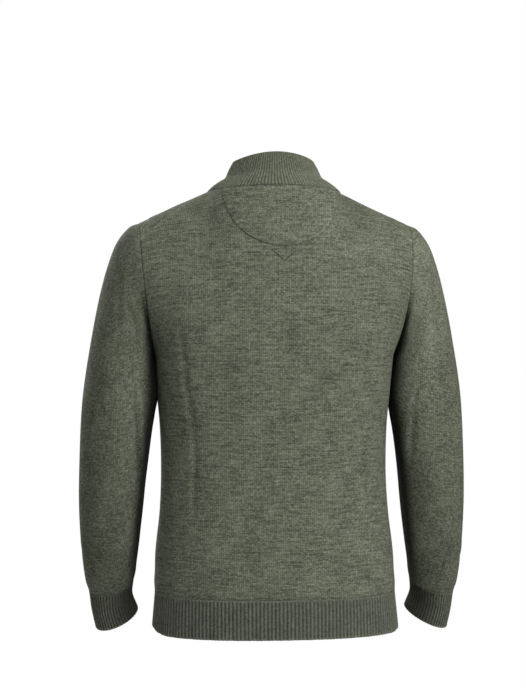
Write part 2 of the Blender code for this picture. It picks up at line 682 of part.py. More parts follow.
def make_slider(frame, metal):
    """The slider: two plates round the chain, the post that parts the tapes, and the bridge for the pull."""
    inside = CHAIN_HALF_WALL + PLATE_CLEARANCE
    outside = inside + PLATE_WALL
    outline = plate_outline(SLIDER_HALF_WIDTH, -SLIDER_HALF_LENGTH, SLIDER_HALF_LENGTH, SLIDER_CORNER)
    slider = add_object("zip_slider", extruded(outline, "Z", inside, outside), metal, frame)
    combine(slider, "under_plate", extruded(outline, "Z", -outside, -inside), "UNION")
    post_y = SLIDER_HALF_LENGTH - POST_SIZE.y / 2 - SLIDER_CORNER / 2
    combine(slider, "post", box_shape(POST_SIZE, (0.0, post_y, 0.0)), "UNION")
    foot = outside - PLATE_WALL / 2
    arch = arc((0.0, HINGE_HEIGHT), BRIDGE_OUTER, 0, 180, ARCH_STEPS)
    arch += [(-BRIDGE_OUTER, foot), (-BRIDGE_INNER, foot)]
    arch += arc((0.0, HINGE_HEIGHT), BRIDGE_INNER, 180, 0, ARCH_STEPS)
    arch += [(BRIDGE_INNER, foot), (BRIDGE_OUTER, foot)]
    combine(slider, "bridge", extruded(arch, "X", -BRIDGE_WIDTH / 2, BRIDGE_WIDTH / 2), "UNION")
    return post_y - POST_SIZE.y / 2


def make_pull(frame, metal):
    """The pull tab, hung from the bridge by the bar across its eye. Its own origin is on the hinge axis."""
    hinge = bpy.data.objects.new("pull_hinge", None)
    bpy.context.scene.collection.objects.link(hinge)
    hinge.parent = frame
    hinge.location = (0.0, 0.0, HINGE_HEIGHT)
    outline = plate_outline(PULL_HALF_WIDTH, -PULL_LENGTH, PULL_HEAD, PULL_CORNER)
    pull = add_object("zip_pull", extruded(outline, "Z", -PULL_WALL / 2, PULL_WALL / 2), metal, hinge)
    eye = Vector((2 * EYE_HALF_WIDTH, EYE_BOTTOM - EYE_TOP, 2 * PULL_WALL))
    combine(pull, "eye", box_shape(eye, (0.0, -(EYE_TOP + EYE_BOTTOM) / 2, 0.0)), "DIFFERENCE")


def make_zip(line, tape_look, metal):
    """The tapes, the closed chain, the slider with its pull, the two stops and the box at the hem."""
    top = line.z[-1] - TAPE_TOP_MARGIN
    box_top = BOX_BOTTOM + BOX_SIZE.z
    place = Vector(line.at(0.0, SLIDER_Z, CHAIN_DEPTH))
    up = Vector(line.at(0.0, SLIDER_Z + SLIDER_HALF_LENGTH, CHAIN_DEPTH)) - place
    tilt = math.atan2(up.y, up.z)
    frame = bpy.data.objects.new("slider_frame", None)
    bpy.context.scene.collection.objects.link(frame)
    frame.location = place
    frame.rotation_euler = (math.pi / 2 - tilt, 0.0, 0.0)
    post_low = make_slider(frame, metal)
    make_pull(frame, metal)

    chain_top = SLIDER_Z + (post_low - SEAM_GAP) * math.cos(tilt)
    chain_depths = (CHAIN_DEPTH - CHAIN_HALF_WALL, CHAIN_DEPTH + CHAIN_HALF_WALL)
    chain_across = (-CHAIN_HALF_WIDTH, CHAIN_HALF_WIDTH)
    make_strip("zip_chain", line, chain_across, chain_depths, (box_top + SEAM_GAP, chain_top), metal)
    tape_depths = (TAPE_DEPTH, TAPE_DEPTH + TAPE_WALL)
    stop_low = top - STOP_MARGIN - STOP_SIZE.y
    stop_depths = (TAPE_DEPTH - SEAM_GAP - STOP_SIZE.z, TAPE_DEPTH - SEAM_GAP)
    for name, side in (("left", 1), ("right", -1)):
        across = sorted((side * TAPE_EDGE, side * ZIP_GAP_HALF, side * (TAPE_EDGE + TAPE_WIDTH)))
        make_strip(f"zip_tape_{name}", line, across, tape_depths, (box_top + SEAM_GAP, top), tape_look)
        across = sorted((side * TAPE_EDGE, side * (TAPE_EDGE + STOP_SIZE.x)))
        make_strip(f"zip_stop_{name}", line, across, stop_depths, (stop_low, stop_low + STOP_SIZE.y), metal)
    box_depths = (CHAIN_DEPTH - BOX_SIZE.y / 2, CHAIN_DEPTH + BOX_SIZE.y / 2)
    box_across = (-BOX_SIZE.x / 2, BOX_SIZE.x / 2)
    make_strip("zip_box", line, box_across, box_depths, (BOX_BOTTOM, box_top), metal)


def main():
    for old in list(bpy.data.objects):
        bpy.data.objects.remove(old)
    knit = material("knit", (0.128, 0.142, 0.104), 0.95)
    rib = material("rib", (0.088, 0.094, 0.070), 0.95)
    tape = material("zip_tape", (0.040, 0.042, 0.034), 0.8)
    metal = material("zip_metal", (0.28, 0.27, 0.25), 0.35, 1.0)
    back, back_out, front_line = make_cloth(knit, rib)
    make_patch(back, back_out, knit)
    make_zip(front_line, tape, metal)


main()
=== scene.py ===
"""Dresses a worn cable knit zip cardigan: its knitted pieces, its zip, and the stage it is shown on.

Metres, +Z up, the zip towards -Y and the wearer's left at +X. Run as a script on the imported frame.
"""

import math
from collections import namedtuple

import bpy
import numpy as np
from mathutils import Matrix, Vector


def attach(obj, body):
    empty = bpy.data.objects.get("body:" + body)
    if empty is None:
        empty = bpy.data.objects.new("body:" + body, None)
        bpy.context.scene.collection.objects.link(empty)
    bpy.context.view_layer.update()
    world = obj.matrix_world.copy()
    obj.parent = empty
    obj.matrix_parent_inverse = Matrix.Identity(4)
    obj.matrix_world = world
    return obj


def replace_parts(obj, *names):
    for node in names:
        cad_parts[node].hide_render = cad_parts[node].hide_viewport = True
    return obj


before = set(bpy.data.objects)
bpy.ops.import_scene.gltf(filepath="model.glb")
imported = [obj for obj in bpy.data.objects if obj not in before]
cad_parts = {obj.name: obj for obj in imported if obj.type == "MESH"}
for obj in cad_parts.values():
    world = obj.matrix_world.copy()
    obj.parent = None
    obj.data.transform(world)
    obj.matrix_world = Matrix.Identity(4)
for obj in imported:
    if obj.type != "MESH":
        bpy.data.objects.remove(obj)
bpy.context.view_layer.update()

bl_info = {
    "name": "Worn Zip Cardigan",
    "version": (1, 0, 0),
    "blender": (4, 5, 0),
    "location": "View3D > Sidebar > Cardigan",
    "description": "Builds the knitted pieces, the zip and the stage of a worn cable knit zip cardigan",
    "category": "Object",
}

# The body that the cloth rides on, and the names of what each mesh stores: the places of its stitches, how
# light it is (painted shade in its grooves, creases and hidden sides, painted highlights along some seams
# and edges, and its seam and stitch marks), and where its ground is purl.
BODY = "garment"
STITCH_MAP = "stitches"
SHADE_AND_MARKS = "depth"
PURL = "purl"

# The wearer's two sides.
LEFT, RIGHT = 1, -1
SIDES = ((LEFT, "left"), (RIGHT, "right"))

# The whole garment leans a little to the wearer's right below the underarm.
SWAY = 0.0035
SWAY_DROP = 0.400

# The cloth: how thick it is, how far the zip's gap and the neck reach out, how far the ribs and the collar
# stand proud of the panels, and how wide and deep a seam is.
KNIT_WALL = 0.0026
RIB_WALL = 0.0030
COLLAR_WALL = 0.0036
ZIP_GAP_HALF = 0.0055
NECK_SHARE = 5 / 9
RIB_PROUD = 0.0003
COLLAR_PROUD = 0.0007
SEAM_WIDTH = 0.0020
SEAM_DEPTH = 0.0005

# How the points are spaced along a section and round an edge.
SECTION_STEPS = 721
EDGE_STEP = 0.001

# How full an open edge is, how round the edges beside the zip are, and how round the lower and the upper
# edge of each kind of piece are.
EDGE_FULLNESS = 0.55
END_ROUNDNESS = 0.6
PANEL_EDGES, PATCH_EDGES, TAPE_EDGES = (0.0, 0.3), (0.3, 0.1), (0.3, 0.3)
RIB_EDGES, COLLAR_EDGES = (0.9, 0.0), (1.6, 0.9)

# The body below the underarm, in level sections from the hem up, with depths from the side seams' plane.
TorsoRing = namedtuple("TorsoRing", "z half_width front back squareness")
TORSO = (
    TorsoRing(-0.658, 0.1845, 0.118, 0.1205, 2.38),
    TorsoRing(-0.630, 0.1820, 0.120, 0.1235, 2.38),
    TorsoRing(-0.601, 0.1795, 0.121, 0.1250, 2.38),
    TorsoRing(-0.550, 0.1780, 0.119, 0.1200, 2.38),
    TorsoRing(-0.482, 0.1710, 0.116, 0.1110, 2.38),
    TorsoRing(-0.412, 0.1685, 0.115, 0.1070, 2.38),
    TorsoRing(-0.351, 0.1700, 0.118, 0.1090, 2.60),
    TorsoRing(-0.300, 0.1745, 0.123, 0.1140, 2.95),
    TorsoRing(-0.250, 0.1780, 0.128, 0.1195, 3.20),
)
HEM_TOP = -0.601
UNDERARM = -0.250
YOKE_TOP_SQUARENESS = 2.7
STEADY_CLIMB = 0.35

# The two faces of the body, and how steeply each one climbs to the shoulder seam.
BACK_FACE = 1
FRONT_FACE = -1
SHOULDER_SLOPE = {BACK_FACE: math.radians(18), FRONT_FACE: math.radians(0)}
SHOULDER_ROUNDNESS = 0.75
SHOULDER_STARTS = 0.1

# How far down the back the shoulder seam runs, and along what curve. The rows move with it from a share of
# the yoke's height, and the fronts reach over the top by a third of the yoke's rows.
SHOULDER_SET_BACK, SET_BACK_CURVE = 0.056, 1.3
SET_BACK_FROM = 0.4
ROWS_BEYOND = 3

# How the cloth is eased where the level rows meet the yoke: over a tenth of the yoke's rows, in a pass for
# every two of them, all but its outer edge. It is also evened below the side of the neck, between two rises
# of the yoke, in a pass for every four columns.
EASED_OVER, EASED_PASSES, EASED_EDGE = 10, 2, 8
EVENED_RISES, EVENED_PASSES = (0.1, 0.5), 4

# The centre lines above the underarm.
LinePoint = namedtuple("LinePoint", "z depth")
BACK_LINE = (
    LinePoint(-0.200, 0.1235),
    LinePoint(-0.150, 0.1245),
    LinePoint(-0.100, 0.1205),
    LinePoint(-0.050, 0.1085),
    LinePoint(0.000, 0.0860),
)
FRONT_LINE = (
    LinePoint(-0.200, 0.1295),
    LinePoint(-0.150, 0.1245),
    LinePoint(-0.110, 0.1090),
    LinePoint(-0.078, 0.0840),
)

# The collar in rings from the neck seam up.
CollarRing = namedtuple("CollarRing", "side_x side_y side_z back_y back_z front_y front_z")
COLLAR = (
    CollarRing(0.0995, 0.0120, -0.0060, 0.0860, 0.0000, -0.0840, -0.0780),
    CollarRing(0.0905, 0.0105, 0.0025, 0.0785, 0.0085, -0.0805, -0.0665),
    CollarRing(0.0805, 0.0090, 0.0095, 0.0715, 0.0165, -0.0775, -0.0545),
    CollarRing(0.0722, 0.0080, 0.0150, 0.0665, 0.0255, -0.0750, -0.0423),
    CollarRing(0.0665, 0.0060, 0.0272, 0.0620, 0.0380, -0.0725, -0.0301),
    CollarRing(0.0602, 0.0040, 0.0390, 0.0580, 0.0500, -0.0700, -0.0179),
)

# The ring that the collar's ribs are even on, its relief as a share of the hem's, how much painted shade
# darkens its grooves, and where and how much painted shade darkens it as it stands up.
EVEN_RING = 3
COLLAR_RIB_SHARE = 0.9
COLLAR_GROOVE_SHADE = 0.7
COLLAR_STANDS, STANDING_SHADE = (0.026, 0.034), 0.16

# The sleeve in rings from the armhole seam to the cuff's mouth, each from its inner point to its outer one.
SleeveRing = namedtuple("SleeveRing", "in_x in_z out_x out_z mid_y half_depth drop bulge lean")
SLEEVE = (
    SleeveRing(0.1780, -0.2500, 0.2025, -0.0540, 0.000, 0.0680, 0.00, 0.006, 0.012),
    SleeveRing(0.1784, -0.2535, 0.2170, -0.0605, 0.000, 0.0685, 0.00, 0.004, 0.009),
    SleeveRing(0.1787, -0.2575, 0.2350, -0.0830, 0.000, 0.0690, 0.00, 0.002, 0.004),
    SleeveRing(0.1790, -0.2620, 0.2480, -0.1180, 0.000, 0.0695, 0.00, 0.001, 0.001),
    SleeveRing(0.1790, -0.2670, 0.2580, -0.1580, 0.000, 0.0700, 0.00, 0.000, 0.000),
    SleeveRing(0.1786, -0.2735, 0.2670, -0.2010, 0.001, 0.0700, 0.00, 0.000, 0.000),
    SleeveRing(0.1776, -0.2830, 0.2745, -0.2420, 0.001, 0.0690, 0.00, 0.000, 0.000),
    SleeveRing(0.1758, -0.2990, 0.2805, -0.2800, 0.002, 0.0670, 0.00, 0.000, 0.000),
    SleeveRing(0.1762, -0.3250, 0.2855, -0.3200, 0.002, 0.0640, 0.00, 0.000, 0.000),
    SleeveRing(0.1825, -0.3650, 0.2890, -0.3680, 0.001, 0.0605, 0.02, 0.000, 0.000),
    SleeveRing(0.1885, -0.4150, 0.2905, -0.4200, -0.002, 0.0570, 0.05, 0.000, 0.000),
    SleeveRing(0.1945, -0.4700, 0.2905, -0.4770, -0.007, 0.0525, 0.10, 0.000, 0.000),
    SleeveRing(0.2010, -0.5220, 0.2885, -0.5300, -0.013, 0.0480, 0.17, 0.000, 0.000),
    SleeveRing(0.2072, -0.5630, 0.2840, -0.5735, -0.020, 0.0425, 0.23, 0.000, 0.000),
    SleeveRing(0.2108, -0.5870, 0.2772, -0.6005, -0.025, 0.0385, 0.25, 0.000, 0.000),
    SleeveRing(0.2120, -0.6070, 0.2735, -0.6290, -0.030, 0.0378, 0.26, 0.000, 0.000),
    SleeveRing(0.2040, -0.6290, 0.2680, -0.6560, -0.034, 0.0378, 0.26, 0.000, 0.000),
)

# The ring where the sleeve meets its cuff.
CUFF_RING = 14

# Each sleeve on its own side: how much lower its forearm hangs, from one height to another, and how much
# painted light brightens the knit at its top, fading out down the sleeve.
HANGS_LOWER, LOWER_ARM = {LEFT: 0.0, RIGHT: 0.0045}, (0.40, 0.58)
UPPER_PAINTED_LIGHT, UPPER_DOWN = {LEFT: 0.0, RIGHT: 0.27}, (0.06, 0.20)

# The painted shade on the inner side of a sleeve, where the body shadows it: how dark it is, how far it
# reaches round in degrees from the inner point, and where it fades out down the sleeve. It is wider along
# the seam, and the forearm and the cuff have their own painted shade.
SLEEVE_INSIDE_SHADE = 0.97
INSIDE_ROUND, INSIDE_DOWN = {LEFT: (30.0, 62.0), RIGHT: (20.0, 48.0)}, (0.25, 0.45)
SEAM_ROUND, SEAM_DOWN = (60.0, 102.0), (0.004, 0.014)
FOREARM_SHADE, FOREARM_ROUND, FOREARM_DOWN = 0.50, (40.0, 180.0), (0.15, 0.52)
CUFF_INSIDE_SHADE, CUFF_INSIDE_ROUND = 0.88, (45.0, 125.0)

# The body presses the top of the sleeve's inner side out: how far, how wide in degrees, and from where to
# where down the sleeve.
SLEEVE_PRESS, PRESS_ROUND = 0.0022, 40.0
PRESS_STARTS, PRESS_ENDS = (0.0, 0.012), (0.042, 0.064)

# The half-moon patch. Its sides are PATCH_SIDE of the back's half width out from its middle, which lies a
# little aside, and run straight down to PATCH_STRAIGHT_TO. Its curved edge drops PATCH_DROP below that.
PATCH_SIDE = 0.357
PATCH_MIDDLE = -0.008
PATCH_STRAIGHT_TO = -0.020
PATCH_DROP = 0.0705

# How far the patch stands off the back and its wall sinks into it, how far its top stays below the neck
# seam, where a painted highlight lies along its edge on one side, and how far its yarn is along from the
# back's.
PATCH_LIFT, PATCH_SUNK = 0.0015, 0.0004
PATCH_TOP_MARGIN = 0.0010
PATCH_HIGHLIGHT_SIDE = (0.035, 0.055)
PATCH_STITCH_SHIFT = 0.5
PATCH_COLUMNS, PATCH_ROWS = 100, 50

# How finely each piece is drawn: steps across and along. The panels' rows are closer at the top.
BACK_COLUMNS, BACK_LEVEL_ROWS, BACK_YOKE_ROWS = 90, 66, 66
FRONT_COLUMNS, FRONT_LEVEL_ROWS, FRONT_YOKE_ROWS = 162, 140, 96
SLEEVE_COLUMNS, SLEEVE_ROWS = 96, 150
HEM_RIBS, CUFF_RIBS, COLLAR_RIBS = 44.5, 46, 62.5
STEPS_A_RIB = 6
CLOSE_ROWS, CLOSE_STEPS = 4, 16
HEM_ROWS, CUFF_ROWS, COLLAR_ROWS = 16, 18, 30

# The ribs: how full their crests are, how soon they start below the knit, how far the hem rises at its
# sides, and how far and in what waves it is pulled unevenly.
RIB_FULLNESS = 0.8
RIB_STARTS = 0.0030
HEM_SIDE_RISE, HEM_RISES_FROM = 0.006, 0.72
HEM_PULL, HEM_WAVES = 0.0006, ((1.7, 0.0), (0.53, 1.0))

# How dark the cloth is beside each seam.
ARM_SEAM_DARK, SHOULDER_SEAM_DARK, NECK_SEAM_DARK = 0.26, 0.15, 0.6
SLEEVE_SEAM_DARK, HEM_SEAM_DARK, PATCH_SEAM_DARK, COLLAR_SEAM_DARK = 0.2, 0.4, 0.5, 0.9

# Soft lines that run along a seam or an edge: how far in, how wide, and how strong or how high. Some are
# painted highlights: beside the armhole and shoulder seams, along one side of the patch's edge, and along
# the ribs' lower edges.
SoftLine = namedtuple("SoftLine", "inside width strength")
ARM_SEAM_HIGHLIGHT = SoftLine(0.0032, 0.0020, 0.22)
SHOULDER_SEAM_HIGHLIGHT = SoftLine(0.0016, 0.0014, 0.45)
NECK_SEWING = SoftLine(0.0048, 0.0009, 0.5)
NECK_STITCH = 0.0042
PATCH_SEWING = SoftLine(0.0022, 0.0009, 0.14)
PATCH_SEWN_DEPTH = 0.0003
PATCH_EDGE_HIGHLIGHT = SoftLine(0.0, 0.0022, 0.8)
RIB_EDGE_HIGHLIGHT = SoftLine(0.0, 0.0016, 0.5)
PANEL_BLOUSE = SoftLine(0.014, 0.012, 1.0)
SLEEVE_BLOUSE = SoftLine(0.012, 0.010, 0.7)

# How far from the seams and ribs the cloth starts to move freely, and the seeds of its swells.
PANEL_CALM, SLEEVE_CALM, CABLE_CALM = (0.0, 0.022), (0.0, 0.020), (0.001, 0.012)
BACK_SEED, FRONT_SEED, SLEEVE_SEED = 0.7, 2.1, 3.3
SWELL_WAVES = ((31.0, 11.0, 0.3), (-17.0, 23.0, 1.9), (47.0, -9.0, 4.1), (12.0, 41.0, 5.2))

# The columns of stitches keep straight up the body, and turn with the rows between these rises of the yoke.
# On sleeves and cuffs a step counts the same in all ways. A row climbs at least this share of its step.
STITCHES_TURN = (0.2, 0.9)
ALL_WAYS = (1.0, 1.0, 1.0)
LEAST_CLIMB = 0.1

# A crease is a trough with a low ridge beside it, along a line of so many steps. It fades at both ends, and
# painted shade darkens the cloth in it.
RIDGE_AWAY, RIDGE_SHARE = 1.8, 0.55
CREASE_FADE, CREASE_STEPS = 0.7, 8
CREASE_SHADE = 90.0

# Soft creases. Each is a line of three places on its face, across and up, with its width and depth. The
# ones on the fronts are like those on the back, and each side has its own.
Crease = namedtuple("Crease", "top_x top_z mid_x mid_z low_x low_z width depth")
BACK_CREASES = (
    Crease(0.1460, -0.200, 0.1385, -0.272, 0.1262, -0.356, 0.0042, 0.0019),
    Crease(0.1300, -0.315, 0.1235, -0.404, 0.1280, -0.505, 0.0042, 0.0017),
    Crease(0.1450, -0.250, 0.1330, -0.261, 0.1200, -0.264, 0.0035, 0.0010),
    Crease(0.1185, -0.264, 0.1010, -0.266, 0.0825, -0.263, 0.0032, 0.0012),
    Crease(0.1165, -0.058, 0.1182, -0.094, 0.1197, -0.130, 0.0032, 0.0009),
    Crease(-0.1205, -0.365, -0.1250, -0.425, -0.1275, -0.480, 0.0042, 0.0014),
    Crease(-0.1490, -0.195, -0.1440, -0.235, -0.1390, -0.290, 0.0055, 0.0014),
    Crease(-0.0340, -0.405, -0.0360, -0.430, -0.0350, -0.460, 0.0050, 0.0006),
    Crease(0.0620, -0.470, 0.0520, -0.520, 0.0480, -0.575, 0.0090, 0.0008),
    Crease(-0.0850, -0.500, -0.0800, -0.540, -0.0820, -0.590, 0.0100, 0.0009),
    Crease(0.0200, -0.535, 0.0000, -0.545, -0.0300, -0.540, 0.0080, 0.0007),
)
FRONT_CREASES = (
    Crease(0.152, -0.185, 0.138, -0.290, 0.132, -0.480, 0.0070, 0.0022),
    Crease(0.168, -0.140, 0.156, -0.200, 0.140, -0.270, 0.0080, 0.0022),
    Crease(-0.150, -0.190, -0.140, -0.270, -0.133, -0.420, 0.0070, 0.0020),
    Crease(-0.170, -0.135, -0.157, -0.205, -0.146, -0.270, 0.0080, 0.0020),
    Crease(0.070, -0.520, 0.074, -0.555, 0.070, -0.590, 0.0120, 0.0012),
    Crease(-0.060, -0.500, -0.066, -0.550, -0.064, -0.590, 0.0120, 0.0012),
)

# The same for the sleeves, with places in degrees round from the inner point, and metres down from the seam.
# A degree is as long on every ring as on one that is SLEEVE_ROUND round.
SLEEVE_ROUND = 0.36
SleeveFold = namedtuple("SleeveFold", "top_turn top_way mid_turn mid_way low_turn low_way width depth")
SLEEVE_FOLDS = {LEFT: (
    SleeveFold(78, 0.070, 58, 0.118, 44, 0.175, 0.0065, 0.0034),
    SleeveFold(106, 0.058, 87, 0.038, 66, 0.027, 0.0046, 0.0017),
    SleeveFold(150, 0.030, 120, 0.070, 100, 0.110, 0.0110, 0.0012),
    SleeveFold(60, 0.300, 90, 0.312, 125, 0.304, 0.0060, 0.0012),
    SleeveFold(-20, 0.290, -50, 0.304, -90, 0.298, 0.0070, 0.0024),
    SleeveFold(-30, 0.330, -58, 0.345, -96, 0.336, 0.0070, 0.0020),
    SleeveFold(170, 0.470, 140, 0.490, 110, 0.500, 0.0070, 0.0012),
    SleeveFold(90, 0.500, 40, 0.512, -10, 0.508, 0.0060, 0.0014),
    SleeveFold(250, 0.495, 215, 0.512, 175, 0.508, 0.0060, 0.0014),
    SleeveFold(-78, 0.075, -60, 0.125, -46, 0.190, 0.0080, 0.0024),
), RIGHT: (
    SleeveFold(74, 0.060, 56, 0.112, 42, 0.170, 0.0070, 0.0022),
    SleeveFold(100, 0.052, 84, 0.035, 66, 0.026, 0.0046, 0.0015),
    SleeveFold(140, 0.040, 118, 0.085, 104, 0.130, 0.0110, 0.0010),
    SleeveFold(70, 0.420, 95, 0.432, 130, 0.425, 0.0065, 0.0012),
    SleeveFold(-18, 0.280, -48, 0.296, -86, 0.290, 0.0070, 0.0024),
    SleeveFold(-28, 0.322, -55, 0.338, -92, 0.330, 0.0070, 0.0020),
    SleeveFold(110, 0.486, 60, 0.500, 10, 0.496, 0.0065, 0.0014),
    SleeveFold(200, 0.500, 160, 0.514, 120, 0.510, 0.0060, 0.0012),
    SleeveFold(-74, 0.065, -58, 0.118, -44, 0.185, 0.0080, 0.0022),
)}

# The columns of cables on a front, from the zip outward: how many strands each has, where its middle is, how
# far the strands swing to each side, half a strand's width, and how far down one whole turn runs. A strand's
# sides stand at a share of the cables' height, and it rises as it crosses over another.
Cable = namedtuple("Cable", "strands middle swing half_strand turn")
CABLES = (
    Cable(2, 0.0235, 0.0036, 0.0042, 0.0380),
    Cable(3, 0.0520, 0.0098, 0.0056, 0.0640),
    Cable(2, 0.0805, 0.0036, 0.0042, 0.0380),
    Cable(3, 0.1090, 0.0098, 0.0056, 0.0640),
    Cable(2, 0.1375, 0.0036, 0.0042, 0.0380),
    Cable(3, 0.1660, 0.0098, 0.0056, 0.0640),
)
CABLE_BODY, CABLE_LIFT = 0.35, 0.0012

# The purl ground between the cables, from the plain band by the zip to the plain side. It is lower, with
# painted shade where it lies low between the cables, and it ends below the shoulder, further down than at
# the neck.
EDGE_BAND, SIDE_PLAIN = 0.0120, 0.1850
GROUND_EDGE = 0.001
GUTTER_DEPTH, GROUND_SHADE = 0.0008, 0.58
SHOULDER_DROP, SHOULDER_DROPS_AT = 0.030, (NECK_SHARE - 0.08, NECK_SHARE + 0.02)
SHOULDER_PLAIN = (0.004, 0.040)
ZIP_EDGE = SoftLine(EDGE_BAND / 2, 0.004, 0.0008)

# The zip, with its depths below the cloth's outer face at the centre front. A tooth's outer ring starts at
# a share of its half depth, and its face is a share of its size.
TAPE_EDGE = 0.00305
TAPE_WIDTH = 0.0100
TAPE_DEPTH = 0.0033
TAPE_WALL = 0.0010
CHAIN_DEPTH = 0.0038
CHAIN_LOW, CHAIN_HIGH = -0.6458, -0.0322
TAPE_TOP = -0.0209
TOOTH_PITCH = 0.0025
TOOTH_SIZE = (0.0036, 0.0021, 0.00118)
TOOTH_MIDDLE = 0.00125
TOOTH_SHOULDER, TOOTH_FACE = 0.3, 0.62
TAPE_LOW_MARGIN = 0.0010
TAPE_ROWS, TAPE_COLUMNS = 160, 6
METAL_NODES = ("zip_slider", "zip_pull", "zip_stop_left", "zip_stop_right", "zip_box")

# The sewn V below the patch: its tip, how far each arm runs across and up, how dark its yarn is, half the
# cord's width and its height, how blunt its ends are, and how light it is.
V_TIP = (-0.0028, -0.1125)
V_ARM = (0.0185, 0.0165)
V_STEPS = 16
V_SHADE = 0.62
V_CORD, V_CORD_SIDES, V_CORD_ENDS = (0.0010, 0.0007), 8, 0.4
V_RELIEF = 0.55

# The collar's yarn is lighter than the body's, and painted shade darkens its grooves and the cuffs' more
# than the hem's.
COLLAR_LIGHTER = 1.22
DEEP_MARKS_AND_SHADE = 0.80

# How a knitted yarn looks: its darkest and lightest shares of its colour, how strongly its slubs, its
# flecks, its single stitches and its broad clouds differ, how long and high a slub and a fleck are, how
# strongly the painted shade and the seam marks stored on the mesh show, as in the grooves of its ribs, and
# how much painted shade darkens it between its columns of stitches.
YARN_MIX = "dark light slubs flecks stitches clouds"
YARN_SIZES = "slub_long slub_high fleck_long fleck_high"
Yarn = namedtuple("Yarn", f"{YARN_MIX} {YARN_SIZES} groove column")
BODY_YARN = Yarn(0.48, 2.4, 0.84, 1.6, 0.26, 0.32, 0.0280, 0.0028, 0.0042, 0.0015, 0.85, 0.34)
SLEEVE_YARN = Yarn(0.48, 2.4, 0.66, 2.0, 0.28, 0.42, 0.0140, 0.0026, 0.0042, 0.0015, 0.98, 0.32)
RIB_YARN = Yarn(0.45, 1.9, 0.30, 1.2, 0.24, 0.25, 0.0050, 0.0120, 0.0024, 0.0030, 0.60, 0.06)

# The form of the stitches: how far a loop slants, how full it is, and how much of it stays up where two
# meet; how far a purl row bows, and how full it is; how much painted shade darkens the hollows; and how
# strong the relief is.
LOOP_SLANT, LOOP_CURVE, LOOP_HOLLOW = 0.7, 0.5, 0.4
PURL_BOW, PURL_CURVE = 0.17, 0.8
HOLLOW_SHADE = 0.3
STITCH_BUMP = 0.9

# The mix of the fibres: where the flecks lie in their noise, from what they show, how much they lighten the
# whole and how ragged they are; how close the clouds are; and how far the pale fibres lose their colour.
FLECK_LAYER, FLECK_FROM, FLECK_MEAN = 7.0, 0.46, 0.07
FLECK_ROUGHNESS = 0.6
CLOUD_SCALE = 22.0
PALE_FIBRE = 0.06

# The zip's woven tape: how wide its ridges, their waves and its weft are, how far the ridges wave, how much
# of its height the ridges give and of its tone the grain, and its darkest and lightest shares.
TAPE_RIDGE, TAPE_WAVE, TAPE_WEFT = 0.0011, 0.0008, 0.0009
TAPE_WAVING, RIDGE_PART = 0.12, 0.6
TAPE_GRAIN, GRAIN_PART = 260.0, 0.6
TAPE_TONES = (0.6, 1.5)
TAPE_BUMP, TAPE_RELIEF = 0.7, 0.0003

# The zip's metal: how close its tarnish and its scratches are, how the tarnish spreads, its darkest and
# lightest shares, how rough it is, how much smoother where it is rubbed, and how much its scratches vary it.
TARNISH_GRAIN, SCRATCH_GRAIN = 420.0, 2600.0
TARNISH_DETAIL, TARNISH_ROUGHNESS = 4.0, 0.6
TARNISH_SPREAD, TARNISH_FROM = 1.6, 0.3
METAL_TONES = (0.62, 1.7)
METAL_ROUGHNESS, RUBBED, SCRATCHED = 0.52, 0.2, 0.1
METAL_BUMP, METAL_RELIEF = 0.25, 0.0001

# The sockets of a mix node that take the share and the two colours, and the one that gives their mix.
MIX_INPUTS, MIX_OUTPUT = (0, 6, 7), 2

# The stage: the middle of the garment, the camera's turn and distance, and each light's name, its setting,
# its place from the middle and its size.
MIDDLE = (0.015, 0.0, -0.2325)
CAMERA_TURN = math.radians(173.5)
CAMERA_AWAY = 2.8
LENS, SENSOR = 97.67, 36.0
LIGHTS = (
    ("Top light", "top_light", (-0.09, 1.48, 1.76), 1.6),
    ("Side light", "side_light", (-1.49, 1.57, 0.38), 1.6),
    ("Front light", "front_light", (1.2, -2.4, 1.3), 1.8),
)
FLOOR_RADIUS, FLOOR_SIDES = 2.0, 96
FLOOR_COLOUR, FLOOR_TONES = (0.86, 0.86, 0.86), (0.985, 1.0)
FLOOR_GRAIN = 1.5
WHITE = (1.0, 1.0, 1.0)


def column(table, name):
    """One named column of a table as an array."""
    return np.array([getattr(row, name) for row in table])


def spline(at, knots, values):
    """A smooth curve through the values, with each knot's slope taken from its neighbours."""
    slopes = np.gradient(values, knots)
    at = np.clip(at, knots[0], knots[-1])
    cell = np.clip(np.searchsorted(knots, at, side="right") - 1, 0, len(knots) - 2)
    width = knots[cell + 1] - knots[cell]
    t = (at - knots[cell]) / width
    start = (2 * t**3 - 3 * t**2 + 1) * values[cell] + (t**3 - 2 * t**2 + t) * width * slopes[cell]
    end = (3 * t**2 - 2 * t**3) * values[cell + 1] + (t**3 - t**2) * width * slopes[cell + 1]
    return start + end


def between_rings(table, at):
    """A ring of a table at a place between its rows."""
    knots = np.arange(len(table), dtype=float)
    return type(table[0])(*(spline(at, knots, column(table, name)) for name in table[0]._fields))


def unit(vectors):
    """Vectors of length one, along the last axis."""
    return vectors / np.linalg.norm(vectors, axis=-1, keepdims=True)


def smooth_step(value, low, high):
    """0 below low, 1 above high, and a smooth rise between them."""
    t = np.clip((value - low) / (high - low), 0.0, 1.0)
    return t * t * (3 - 2 * t)


def fade(value, low, high):
    """1 below low, 0 above high, and a smooth fall between them."""
    return 1 - smooth_step(value, low, high)


def bell(distance, width):
    """1 at no distance, falling away over the width."""
    return np.exp(-((distance / width) ** 2))


def drawn(away, line):
    """A soft line, at a distance from the seam or edge that it runs along."""
    return line.strength * bell(away - line.inside, line.width)


def travelled(steps):
    """How far along each point lies, from the lengths of the steps between them."""
    return np.concatenate([np.zeros_like(steps[:1]), np.cumsum(steps, axis=0)])


def centre_depth(z, face):
    """How far the centre back or centre front lies from the plane of the side seams, at a height."""
    name, line = ("back", BACK_LINE) if face == BACK_FACE else ("front", FRONT_LINE)
    knots = np.concatenate([column(TORSO, "z"), column(line, "z")])
    depths = np.concatenate([column(TORSO, name), column(line, "depth")])
    return spline(z, knots, depths)


